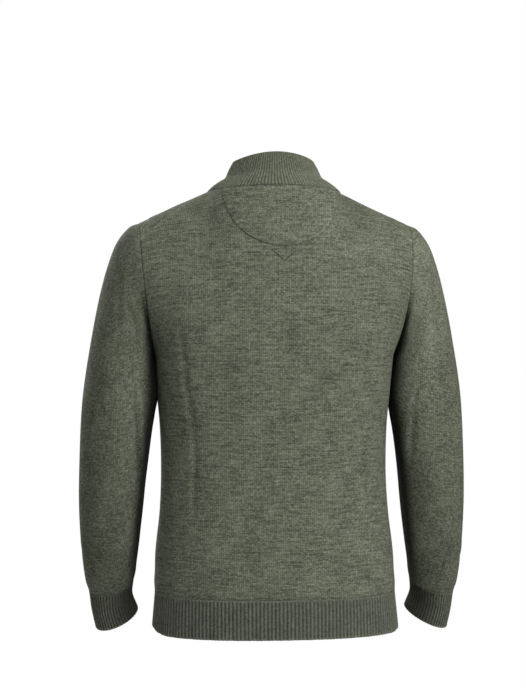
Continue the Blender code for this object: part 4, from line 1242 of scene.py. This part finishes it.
def worn(grid, along, away, creases, seed, knit):
    """How far a panel stands out from its plain form as it is worn, and the painted shade in its creases."""
    calm = smooth_step(from_seams(away, along), *PANEL_CALM)
    bloused = knit.blouse * drawn(along, PANEL_BLOUSE)
    swell = knit.swell * drape(grid[..., 0], grid[..., 2], seed)
    sunk = calm * creased(grid, creases)
    return calm * swell - sunk + bloused - rolled_in(away), 1 - CREASE_SHADE * sunk


def back_cloth():
    """The back panel as cloth, with its creases."""
    half = half_panel(BACK_FACE, BACK_COLUMNS, BACK_LEVEL_ROWS, BACK_YOKE_ROWS)
    across, along, away, shade = panel_places(half, BACK_LEVEL_ROWS, BACK_YOKE_ROWS)
    grid = whole_width(half)
    along, away, shade = (whole_width(part) for part in (along, away, shade))
    normals = open_normals(grid)
    # The second value is the painted shade in the creases.
    lift, creases = worn(grid, along, away, BACK_CREASES, BACK_SEED, knit_sizes())
    outer = raised(grid, normals, lift)
    return Cloth(outer, outer - KNIT_WALL * normals, whole_width(across, -1), along, shade * creases)


def front_cloth(side):
    """A front as cloth, with its cables from the plain band by the zip out to the side."""
    knit = knit_sizes()
    half = half_panel(FRONT_FACE, FRONT_COLUMNS, FRONT_LEVEL_ROWS, FRONT_YOKE_ROWS, ZIP_GAP_HALF)
    across, along, away, seams = panel_places(half, FRONT_LEVEL_ROWS, FRONT_YOKE_ROWS)
    grid = sided(half, side)
    normals = open_normals(grid)
    height, stitch_across, purl = cabled(across, along, knit)
    shares = np.linspace(0.0, 1.0, half.shape[1])
    to_shoulder = along[-1:] - along - SHOULDER_DROP * smooth_step(shares, *SHOULDER_DROPS_AT)
    calm = smooth_step(from_seams(away, along), *CABLE_CALM) * smooth_step(to_shoulder, *SHOULDER_PLAIN)
    form, creases = worn(grid, along, away, FRONT_CREASES, FRONT_SEED + side, knit)
    # Painted shade on the purl ground where it lies low between the cables.
    ground = purl * calm * (1 - np.clip(height / knit.cable_lift, 0.0, 1.0))
    lift = calm * (height - GUTTER_DEPTH * purl) + form + drawn(across, ZIP_EDGE)
    outer = raised(grid, normals, lift)
    inner = raised(grid, normals, -KNIT_WALL - rolled_in(away))
    shade = seams * creases * (1 - GROUND_SHADE * ground)
    cloth = Cloth(outer, inner, stitch_across * side, along, shade, purl)
    cloth.round_end(0)
    return cloth


def rib_cycles(ribs, across):
    """How many ribs lie between each point and the first one of its row."""
    return np.linspace(0.0, ribs, across.shape[1]) + np.zeros_like(across)


def rib_faces(grid, normals, cycles, along, lift=0.0):
    """How high each point of a rib is, and its outer and inner faces. It starts flat below the knit."""
    relief = knit_sizes().rib_relief
    rib = 1 - smooth_step(along[-1:] - along, 0.0, RIB_STARTS) * (1 - ribbed(cycles))
    outer = raised(grid, normals, relief * (rib - 1) + RIB_PROUD + lift)
    return rib, outer, outer - (RIB_WALL - relief / 2) * normals


def hem_cloth(half, side=0):
    """A part of the hem rib as cloth. side is 0 for the back, which spans both halves."""
    across, along = stitch_places(half)
    cycles = rib_cycles(HEM_RIBS, across)
    away = across[:, -1:] - across
    if side == 0:
        grid, across = whole_width(half), whole_width(across, -1)
        cycles, along, away = (whole_width(part) for part in (cycles, along, away))
    else:
        grid, across = sided(half, side), across * side
    first, second = (np.sin(cycles * pace + start) for pace, start in HEM_WAVES)
    pulled = HEM_PULL * first * second * (1 - along / along[-1:])
    rib, outer, inner = rib_faces(grid, open_normals(grid), cycles, along, pulled - rolled_in(away))
    # A painted highlight along the hem's lower edge.
    shade = rib * seam_shade(away, HEM_SEAM_DARK) + drawn(along, RIB_EDGE_HIGHLIGHT)
    cloth = Cloth(outer, inner, across, along, shade)
    if side:
        cloth.round_end(0)
    return cloth


def inner_angles(columns):
    """The turn of each column of a sleeve in degrees, and how far it is from the inner point either way."""
    turn = np.linspace(0.0, 360.0, columns)[None]
    return turn, np.minimum(turn, 360.0 - turn)


def sleeve_cloth(side):
    """A sleeve as cloth from its cuff up to the armhole, with its folds."""
    knit = knit_sizes()
    grid = sleeve_grid(CUFF_RING, 0, SLEEVE_ROWS, SLEEVE_COLUMNS)
    across, along = stitch_places(grid, ALL_WAYS, from_middle=True)
    turn, from_inside = inner_angles(grid.shape[1])
    down = along[-1:] - along
    # Painted shade where the body shadows the sleeve's inner side and the top of its seam, and on the
    # forearm.
    inside = fade(from_inside, *INSIDE_ROUND[side]) * fade(down, *INSIDE_DOWN)
    painted_inner_shade = np.maximum(inside, fade(from_inside, *SEAM_ROUND) * fade(down, *SEAM_DOWN))
    forearm = fade(from_inside, *FOREARM_ROUND) * smooth_step(down, *FOREARM_DOWN)
    pressed = SLEEVE_PRESS * bell(from_inside, PRESS_ROUND)
    pressed = pressed * smooth_step(down, *PRESS_STARTS) * fade(down, *PRESS_ENDS)
    calm = smooth_step(from_seams(down, along), *SLEEVE_CALM)
    folds = calm * folded(turn, down, SLEEVE_FOLDS[side])
    swell = calm * knit.swell * drape(across, along, SLEEVE_SEED * side)
    bloused = knit.blouse * drawn(along, SLEEVE_BLOUSE)
    grid = sleeved(grid, side)
    normals = tube_normals(grid)
    outer = raised(grid, normals, swell - folds + bloused + pressed - rolled_in(down))
    # Painted shade in the folds, on the inner side and on the forearm.
    shade = seam_shade(down, SLEEVE_SEAM_DARK) * (1 - CREASE_SHADE * folds)
    shade = shade * (1 - SLEEVE_INSIDE_SHADE * painted_inner_shade) * (1 - FOREARM_SHADE * forearm)
    # Painted light at the top of the right sleeve.
    shade = shade * (1 + UPPER_PAINTED_LIGHT[side] * fade(down, *UPPER_DOWN))
    return Cloth(outer, outer - KNIT_WALL * normals, across * side, along, shade, closed=True)


def cuff_cloth(side):
    """A cuff as cloth, from its mouth up to the sleeve."""
    columns = CUFF_RIBS * STEPS_A_RIB
    grid = sleeve_grid(len(SLEEVE) - 1, CUFF_RING, CUFF_ROWS, columns)
    across, along = stitch_places(grid, ALL_WAYS, from_middle=True)
    cycles = rib_cycles(CUFF_RIBS, across)
    grid = sleeved(grid, side)
    rib, outer, inner = rib_faces(grid, tube_normals(grid), cycles, along)
    # Painted shade on the cuff's inner side, where the body shadows it, and a painted highlight along its
    # lower edge.
    painted_inner_shade = fade(inner_angles(columns + 1)[1], *CUFF_INSIDE_ROUND)
    shade = (rib + drawn(along, RIB_EDGE_HIGHLIGHT)) * (1 - CUFF_INSIDE_SHADE * painted_inner_shade)
    return Cloth(outer, inner, across * side, along, shade, closed=True)


def collar_cloth():
    """The stand collar as cloth, from the neck seam up."""
    half = half_collar(int(COLLAR_RIBS * STEPS_A_RIB))
    across, along = stitch_places(half)
    cycles = rib_cycles(COLLAR_RIBS, across)
    grid, across = whole_width(half), whole_width(across, -1)
    along, cycles = whole_width(along), whole_width(cycles)
    normals = open_normals(grid)
    rib = ribbed(cycles)
    relief = knit_sizes().rib_relief * COLLAR_RIB_SHARE
    outer = raised(grid, normals, relief * (rib - 1) + COLLAR_PROUD - rolled_in(along))
    inner = outer - (COLLAR_WALL - relief) * normals
    # Painted shade in the rib grooves and where the collar stands up.
    standing = 1 - STANDING_SHADE * smooth_step(along, *COLLAR_STANDS)
    shade = (1 - COLLAR_GROOVE_SHADE * (1 - rib)) * standing * seam_shade(along, COLLAR_SEAM_DARK)
    cloth = Cloth(outer, inner, across, along, shade)
    cloth.round_end(0)
    cloth.round_end(-1)
    return cloth


def at_heights(heights, line, values):
    """The points or directions of one column at other heights."""
    return np.stack([np.interp(heights, line[:, 2], values[:, k]) for k in range(3)], axis=-1)


def back_points(share, z):
    """Points on the back panel's outer face at shares of its half width and heights, with their normals."""
    outer = back_cloth().rows["outer"]
    normals = open_normals(outer)
    at = (np.asarray(share) + 1) * BACK_COLUMNS
    points, directions = [], []
    for place, heights in zip(at, z):
        j = int(min(place, 2 * BACK_COLUMNS - 1))
        t = place - j
        line, up = ((1 - t) * part[:, j] + t * part[:, j + 1] for part in (outer, normals))
        points.append(at_heights(heights, line, line))
        directions.append(unit(at_heights(heights, line, up)))
    return np.array(points), np.array(directions)


def patch_cloth():
    """The half-moon patch as cloth on the back, from its curved edge up to the neck seam."""
    share = PATCH_SIDE * np.sin(np.linspace(-math.pi / 2, math.pi / 2, PATCH_COLUMNS + 1))
    low = PATCH_STRAIGHT_TO - PATCH_DROP * np.sqrt(np.clip(1 - (share / PATCH_SIDE) ** 2, 0.0, 1.0))
    share = share + PATCH_MIDDLE
    turn = np.abs(share) / NECK_SHARE * math.pi / 2
    high = collar_point(COLLAR[0], turn, BACK_FACE)[:, 2] - PATCH_TOP_MARGIN
    ways = np.linspace(0.0, 1.0, PATCH_ROWS + 1)
    grid, normals = back_points(share, low[:, None] + ways * (high - low)[:, None])
    grid, normals = grid.transpose(1, 0, 2), normals.transpose(1, 0, 2)
    x = grid[..., 0]
    across = np.repeat(x[-1:], len(grid), axis=0)
    edge = np.linalg.norm(grid - grid[:1], axis=-1)
    away = from_seams(edge, np.abs(x - x[:, :1]), np.abs(x - x[:, -1:]))
    sewn = drawn(away, PATCH_SEWING)
    depth = sewn * PATCH_SEWN_DEPTH / PATCH_SEWING.strength
    outer = raised(grid, normals, PATCH_LIFT - depth)
    to_neck = np.linalg.norm(grid[-1:] - grid, axis=-1)
    # A painted highlight along the patch's edge on the wearer's right.
    shade = 1 - sewn + smooth_step(-x, *PATCH_HIGHLIGHT_SIDE) * drawn(away, PATCH_EDGE_HIGHLIGHT)
    shade = shade * seam_shade(to_neck, PATCH_SEAM_DARK) + neck_stitches(to_neck, across)
    return Cloth(outer, grid - PATCH_SUNK * normals, across, grid[..., 2] + PATCH_STITCH_SHIFT, shade)


def cord(name, points, normals, look):
    """A thin flattened cord laid along points on the cloth."""
    half_width, height = V_CORD
    ways = unit(np.gradient(points, axis=0))
    beside = unit(np.cross(ways, normals))
    turn = np.linspace(0.0, 2 * math.pi, V_CORD_SIDES, endpoint=False)[None, :, None]
    thin = np.sin(np.linspace(0.0, math.pi, len(points))) ** V_CORD_ENDS
    ring = np.cos(turn) * half_width * beside[:, None] + np.sin(turn) * height * normals[:, None]
    grid = points[:, None] + ring * thin[:, None, None]
    count = len(points)
    around = cells(count - 1, V_CORD_SIDES)
    faces = np.stack([a * V_CORD_SIDES + b % V_CORD_SIDES for a, b in around], axis=-1)
    length = np.linalg.norm(np.diff(points, axis=0), axis=-1).sum()
    across = np.linspace(0.0, 2 * half_width, V_CORD_SIDES + 1)[None] + np.zeros((count, 1))
    along = np.linspace(0.0, length, count)[:, None] + 0 * across
    corners = np.stack([np.stack([across[a, b], along[a, b]], axis=-1) for a, b in around], axis=1)
    made = mesh_object(name, swayed(grid.reshape(-1, 3)), faces, corners)
    add_values(made, SHADE_AND_MARKS, np.full(count * V_CORD_SIDES, V_RELIEF))
    add_values(made, PURL, np.zeros(count * V_CORD_SIDES))
    return dressed(made, look, BODY)


class FrontLine:
    """The centre front's outer face, from the hem's lower edge to the collar's upper one."""

    def __init__(self):
        halves = (
            half_hem(FRONT_FACE, FRONT_COLUMNS, ZIP_GAP_HALF),
            half_panel(FRONT_FACE, FRONT_COLUMNS, FRONT_LEVEL_ROWS, FRONT_YOKE_ROWS, ZIP_GAP_HALF),
            half_collar(FRONT_COLUMNS)[:, ::-1],
        )
        edge, beside = (np.concatenate([half[1:, at] for half in halves]) for at in (0, 1))
        self.y, self.z = edge[:, 1], edge[:, 2]
        heading = np.gradient(edge[:, 1:], axis=0)
        self.out = unit(np.stack([-heading[:, 1], heading[:, 0]], axis=-1))
        self.slant = (beside - edge)[:, 1:] / (beside - edge)[:, :1]

    def at(self, x, z, depth):
        """Points at places across and heights, moved in from the cloth's outer face by a depth."""
        x, z, depth = np.broadcast_arrays(x, z, depth)
        out = unit(np.stack([np.interp(z, self.z, self.out[:, k]) for k in (0, 1)], axis=-1))
        slant = np.stack([np.interp(z, self.z, self.slant[:, k]) for k in (0, 1)], axis=-1)
        aside = np.clip(np.abs(x) - ZIP_GAP_HALF, 0.0, None)[..., None]
        place = np.stack([np.interp(z, self.z, self.y), z], axis=-1) + aside * slant - depth[..., None] * out
        return np.concatenate([x[..., None], place], axis=-1)


def tape_cloth(line, side):
    """One tape of the zip."""
    z = np.linspace(TORSO[0].z + TAPE_LOW_MARGIN, TAPE_TOP, TAPE_ROWS + 1)[:, None]
    x = side * np.linspace(TAPE_EDGE, TAPE_EDGE + TAPE_WIDTH, TAPE_COLUMNS + 1)[None]
    outer = line.at(x, z, TAPE_DEPTH)
    inner = line.at(x, z, TAPE_DEPTH + TAPE_WALL)
    across, along = x + 0 * z, z + 0 * x
    return Cloth(outer, inner, across, along, np.ones_like(across))


def tooth_points():
    """One tooth about its own middle: a block with a blunt outer face."""
    width, depth, height = (size / 2 for size in TOOTH_SIZE)
    corners = ((-1, -1), (1, -1), (1, 1), (-1, 1))
    rings = ((depth, 1.0), (-TOOTH_SHOULDER * depth, 1.0), (-depth, TOOTH_FACE))
    return np.array([[x * width * share, y, z * height * share] for y, share in rings for x, z in corners])


def tooth_faces():
    """The faces of one tooth, by its own points."""
    sides = [(r + k, r + (k + 1) % 4, r + 4 + (k + 1) % 4, r + 4 + k) for r in (0, 4) for k in range(4)]
    return np.array([(3, 2, 1, 0), (8, 9, 10, 11), *sides])


def colour_setting(name, description, default):
    """A colour that a user can change."""
    return bpy.props.FloatVectorProperty(
        name=name, description=description, subtype="COLOR", size=3, min=0.0, max=1.0, default=default
    )


def length_setting(name, description, default, least=0.0, digits=4):
    """A length that a user can change."""
    return bpy.props.FloatProperty(
        name=name, description=description, unit="LENGTH", precision=digits, min=least, default=default
    )


def light_setting(name, description, default):
    """The power of a light that a user can change."""
    return bpy.props.FloatProperty(
        name=name, description=description, subtype="POWER", unit="POWER", min=0.0, default=default
    )


class CardiganYarns(bpy.types.PropertyGroup):
    """The colours of the yarns."""

    body_colour: colour_setting(
        "Body", "Colour of the knit of the back and the fronts", (0.141, 0.156, 0.110)
    )
    sleeve_colour: colour_setting("Sleeves", "Colour of the knit of the sleeves", (0.132, 0.146, 0.102))
    rib_colour: colour_setting("Hem", "Colour of the ribbed hem", (0.138, 0.149, 0.112))
    cuff_colour: colour_setting("Cuffs", "Colour of the ribbed cuffs", (0.129, 0.140, 0.101))


class CardiganKnit(bpy.types.PropertyGroup):
    """The sizes of the stitches and of what stands out on the cloth."""

    wale: length_setting("Stitch width", "From one column of stitches to the next", 0.0031, least=0.001)
    course: length_setting("Stitch height", "From one row of stitches to the next", 0.0022, least=0.0005)
    stitch_relief: length_setting("Stitch relief", "How far a stitch stands out", 0.0006)
    rib_relief: length_setting("Rib relief", "From a rib's crest to its groove", 0.0011)
    cable_lift: length_setting("Cable height", "How far a cable's strand stands out", 0.0026)
    swell: length_setting("Swell", "How far the worn cloth swells unevenly", 0.0011)
    blouse: length_setting("Blousing", "How far the knit puffs out above the ribs", 0.0012)


class CardiganZip(bpy.types.PropertyGroup):
    """The colours of the zip."""

    tape_colour: colour_setting("Tape", "Colour of the zip's tape", (0.040, 0.042, 0.034))
    metal_colour: colour_setting("Metal", "Colour of the teeth, the slider and its pull", (0.28, 0.27, 0.25))


class CardiganStage(bpy.types.PropertyGroup):
    """The lights and the floor."""

    room_light: bpy.props.FloatProperty(
        name="Room light", description="Strength of the light from all round", min=0.0, default=0.16
    )
    top_light: light_setting("Top light", "Power of the soft light above the back", 35.0)
    side_light: light_setting("Side light", "Power of the soft light beside the back", 31.0)
    front_light: light_setting("Front light", "Power of the soft light on the zip's side", 105.0)
    floor_drop: length_setting(
        "Floor", "How far the floor is below the shoulders", 1.45, least=0.7, digits=2
    )


class CARDIGAN_OT_panels(bpy.types.Operator):
    """Knits the back and the two cabled fronts"""

    bl_idname = "cardigan.panels"
    bl_label = "Back and Fronts"

    def execute(self, context):
        scene = context.scene
        look = knitted("Body knit", scene.cardigan_yarns.body_colour, scene.cardigan_knit, BODY_YARN)
        back = back_cloth().build("Back", look, "knit", PANEL_EDGES)
        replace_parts(back, "back_panel")
        for side, name in SIDES:
            front = front_cloth(side).build(f"Front_{name}", look, "cable_knit", PANEL_EDGES)
            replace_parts(front, f"front_{name}")
        patch = patch_cloth().build("Neck_patch", look, "knit", PATCH_EDGES)
        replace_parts(patch, "neck_patch")
        return {"FINISHED"}


class CARDIGAN_OT_ribs(bpy.types.Operator):
    """Knits the ribbed hem, cuffs and stand collar"""

    bl_idname = "cardigan.ribs"
    bl_label = "Hem, Cuffs and Collar"

    def execute(self, context):
        yarns, knit = context.scene.cardigan_yarns, context.scene.cardigan_knit
        look = knitted("Rib knit", yarns.rib_colour, knit, RIB_YARN)
        deep = RIB_YARN._replace(groove=DEEP_MARKS_AND_SHADE)
        cuff_look = knitted("Cuff knit", yarns.cuff_colour, knit, deep)
        collar_colour = [part * COLLAR_LIGHTER for part in yarns.body_colour]
        collar_look = knitted("Collar knit", collar_colour, knit, deep)

        columns = int(HEM_RIBS * STEPS_A_RIB)
        hem = hem_cloth(half_hem(BACK_FACE, columns)).build("Hem_back", look, "rib", RIB_EDGES)
        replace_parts(hem, "hem_back")
        for side, name in SIDES:
            half = half_hem(FRONT_FACE, columns, ZIP_GAP_HALF)
            hem = hem_cloth(half, side).build(f"Hem_front_{name}", look, "rib", RIB_EDGES)
            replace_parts(hem, f"hem_front_{name}")
            cuff = cuff_cloth(side).build(f"Cuff_{name}", cuff_look, "rib", RIB_EDGES)
            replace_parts(cuff, f"cuff_{name}")
        collar = collar_cloth().build("Collar", collar_look, "rib", COLLAR_EDGES)
        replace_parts(collar, "collar")
        return {"FINISHED"}


class CARDIGAN_OT_sleeves(bpy.types.Operator):
    """Knits the two sleeves"""

    bl_idname = "cardigan.sleeves"
    bl_label = "Sleeves"

    def execute(self, context):
        scene = context.scene
        look = knitted("Sleeve knit", scene.cardigan_yarns.sleeve_colour, scene.cardigan_knit, SLEEVE_YARN)
        for side, name in SIDES:
            sleeve = sleeve_cloth(side).build(f"Sleeve_{name}", look, "sleeve_knit", PANEL_EDGES)
            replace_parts(sleeve, f"sleeve_{name}")
        return {"FINISHED"}


class CARDIGAN_OT_back_stitching(bpy.types.Operator):
    """Sews the small V below the half-moon patch"""

    bl_idname = "cardigan.back_stitching"
    bl_label = "Back Stitching"

    def execute(self, context):
        scene = context.scene
        colour = [part * V_SHADE for part in scene.cardigan_yarns.body_colour]
        look = knitted("Sewn V yarn", colour, scene.cardigan_knit, RIB_YARN)
        outer = back_cloth().rows["outer"]
        row = outer[np.searchsorted(outer[:, BACK_COLUMNS, 2], V_TIP[1])]
        z = np.linspace(V_TIP[1], V_TIP[1] + V_ARM[1], V_STEPS)
        for side, name in SIDES:
            x = np.linspace(V_TIP[0], V_TIP[0] + side * V_ARM[0], V_STEPS)
            share = np.interp(x, row[:, 0], np.linspace(-1.0, 1.0, len(row)))
            points, normals = back_points(share, z[:, None])
            cord(f"Sewn_V_{name}", points[:, 0], normals[:, 0], look)
        return {"FINISHED"}


class CARDIGAN_OT_zip(bpy.types.Operator):
    """Makes the zip: its tapes, its teeth, and the finish of its metal parts"""

    bl_idname = "cardigan.zip"
    bl_label = "Zip"

    def execute(self, context):
        colours = context.scene.cardigan_zip
        line = FrontLine()
        weave = woven_tape("Zip tape weave", colours.tape_colour)
        metal = antique_metal("Zip metal", colours.metal_colour)
        for side, name in SIDES:
            tape = tape_cloth(line, side).build(f"Zip_tape_{name}", weave, "zip_tape", TAPE_EDGES)
            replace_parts(tape, f"zip_tape_{name}")
        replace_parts(self.teeth(line, metal), "zip_chain")
        for name in METAL_NODES:
            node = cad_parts[name]
            if not node.material_slots:
                node.data.materials.append(metal)
            for place in node.material_slots:
                place.material = metal
        return {"FINISHED"}

    def teeth(self, line, metal):
        """All the closed teeth as one mesh."""
        count = int((CHAIN_HIGH - CHAIN_LOW) / TOOTH_PITCH * 2)
        z = CHAIN_LOW + TOOTH_PITCH / 2 * (np.arange(count) + 0.5)
        x = np.where(np.arange(count) % 2, TOOTH_MIDDLE, -TOOTH_MIDDLE)
        one, faces = tooth_points(), tooth_faces()
        middle = line.at(x, z, CHAIN_DEPTH)
        out = unit(line.at(x, z, CHAIN_DEPTH - EDGE_STEP) - middle)
        aside = np.array([1.0, 0.0, 0.0])
        up = unit(np.cross(out, aside))
        up *= np.sign(up[:, 2:])
        points = middle[:, None] + one[None, :, :1] * aside
        points = points - one[None, :, 1:2] * out[:, None] + one[None, :, 2:] * up[:, None]
        all_faces = (faces[None] + len(one) * np.arange(count)[:, None, None]).reshape(-1, 4)
        made = mesh_object("Zip_teeth", swayed(points.reshape(-1, 3)), all_faces)
        made.data.shade_flat()
        return dressed(made, metal, BODY)


class CARDIGAN_OT_cloth_facts(bpy.types.Operator):
    """Does nothing; it notes no sizes"""

    bl_idname = "cardigan.cloth_facts"
    bl_label = "Flat Sizes"

    def execute(self, context):
        return {"FINISHED"}


class CARDIGAN_OT_stage(bpy.types.Operator):
    """Sets the pale floor, the soft lights and the camera"""

    bl_idname = "cardigan.stage"
    bl_label = "Stage"

    def execute(self, context):
        stage = context.scene.cardigan_stage
        context.scene.view_settings.view_transform = "Standard"
        self.floor(stage)
        self.room(context.scene, stage)
        middle = Vector(MIDDLE)
        for name, power, place, size in LIGHTS:
            data = bpy.data.lights.new(name, "AREA")
            data.shape, data.size, data.energy = "DISK", size, getattr(stage, power)
            light = bpy.data.objects.new(name, data)
            light.location = middle + Vector(place)
            light.rotation_euler = (-Vector(place)).to_track_quat("-Z", "Y").to_euler()
            context.scene.collection.objects.link(light)
        self.camera(context.scene, middle)
        return {"FINISHED"}

    def floor(self, stage):
        """A pale disc."""
        turn = np.linspace(0.0, 2 * math.pi, FLOOR_SIDES, endpoint=False)
        rim = [(math.cos(a) * FLOOR_RADIUS, math.sin(a) * FLOOR_RADIUS, 0.0) for a in turn]
        faces = [(0, k + 1, (k + 1) % FLOOR_SIDES + 1) for k in range(FLOOR_SIDES)]
        mesh = bpy.data.meshes.new("Floor")
        mesh.from_pydata([(0.0, 0.0, 0.0), *rim], [], faces)
        floor = bpy.data.objects.new("Floor", mesh)
        floor.location.z = -stage.floor_drop
        bpy.context.scene.collection.objects.link(floor)
        mesh.materials.append(plain_floor("Floor paint", FLOOR_COLOUR))

    def room(self, scene, stage):
        """White all round, and softer where it lights the cloth."""
        world = bpy.data.worlds.new("Studio")
        scene.world = world
        world.use_nodes = True
        nodes = Nodes(world.node_tree)
        lighting, seen = (
            nodes.node("ShaderNodeBackground", {}, {"Color": colour4(WHITE), "Strength": strength})
            for strength in (stage.room_light, 1.0)
        )
        to_camera = nodes.node("ShaderNodeLightPath", output="Is Camera Ray")
        mix = nodes.node("ShaderNodeMixShader", {}, {0: to_camera, 1: lighting, 2: seen})
        nodes.put(nodes.tree.nodes["World Output"].inputs["Surface"], mix)

    def camera(self, scene, middle):
        """A long lens level with the middle of the back, a little to its side."""
        data = bpy.data.cameras.new("Camera")
        data.lens, data.sensor_width = LENS, SENSOR
        camera = bpy.data.objects.new("Camera", data)
        away = Vector((math.sin(CAMERA_TURN), -math.cos(CAMERA_TURN), 0.0))
        camera.location = middle + CAMERA_AWAY * away
        camera.rotation_euler = (-away).to_track_quat("-Z", "Y").to_euler()
        scene.collection.objects.link(camera)
        scene.camera = camera


class CARDIGAN_PT_sidebar(bpy.types.Panel):
    """The cardigan's pieces, sizes and colours"""

    bl_label = "Cardigan"
    bl_idname = "CARDIGAN_PT_sidebar"
    bl_space_type = "VIEW_3D"
    bl_region_type = "UI"
    bl_category = "Cardigan"

    def draw(self, context):
        for group in GROUPS:
            values = getattr(context.scene, group)
            for name in values.__annotations__:
                self.layout.prop(values, name)
        for operator in OPERATORS:
            self.layout.operator(operator.bl_idname)


OPERATORS = (
    CARDIGAN_OT_panels,
    CARDIGAN_OT_ribs,
    CARDIGAN_OT_sleeves,
    CARDIGAN_OT_back_stitching,
    CARDIGAN_OT_zip,
    CARDIGAN_OT_cloth_facts,
    CARDIGAN_OT_stage,
)
GROUPS = {
    "cardigan_yarns": CardiganYarns,
    "cardigan_knit": CardiganKnit,
    "cardigan_zip": CardiganZip,
    "cardigan_stage": CardiganStage,
}


def register():
    for group in GROUPS.values():
        bpy.utils.register_class(group)
    for name, group in GROUPS.items():
        setattr(bpy.types.Scene, name, bpy.props.PointerProperty(type=group))
    for part in (*OPERATORS, CARDIGAN_PT_sidebar):
        bpy.utils.register_class(part)


def unregister():
    for part in (CARDIGAN_PT_sidebar, *reversed(OPERATORS)):
        bpy.utils.unregister_class(part)
    for name, group in GROUPS.items():
        delattr(bpy.types.Scene, name)
        bpy.utils.unregister_class(group)


def main():
    """Makes the whole scene."""
    register()
    bpy.ops.cardigan.panels()
    bpy.ops.cardigan.ribs()
    bpy.ops.cardigan.sleeves()
    bpy.ops.cardigan.back_stitching()
    bpy.ops.cardigan.zip()
    bpy.ops.cardigan.cloth_facts()
    bpy.ops.cardigan.stage()


if __name__ == "__main__":
    main()
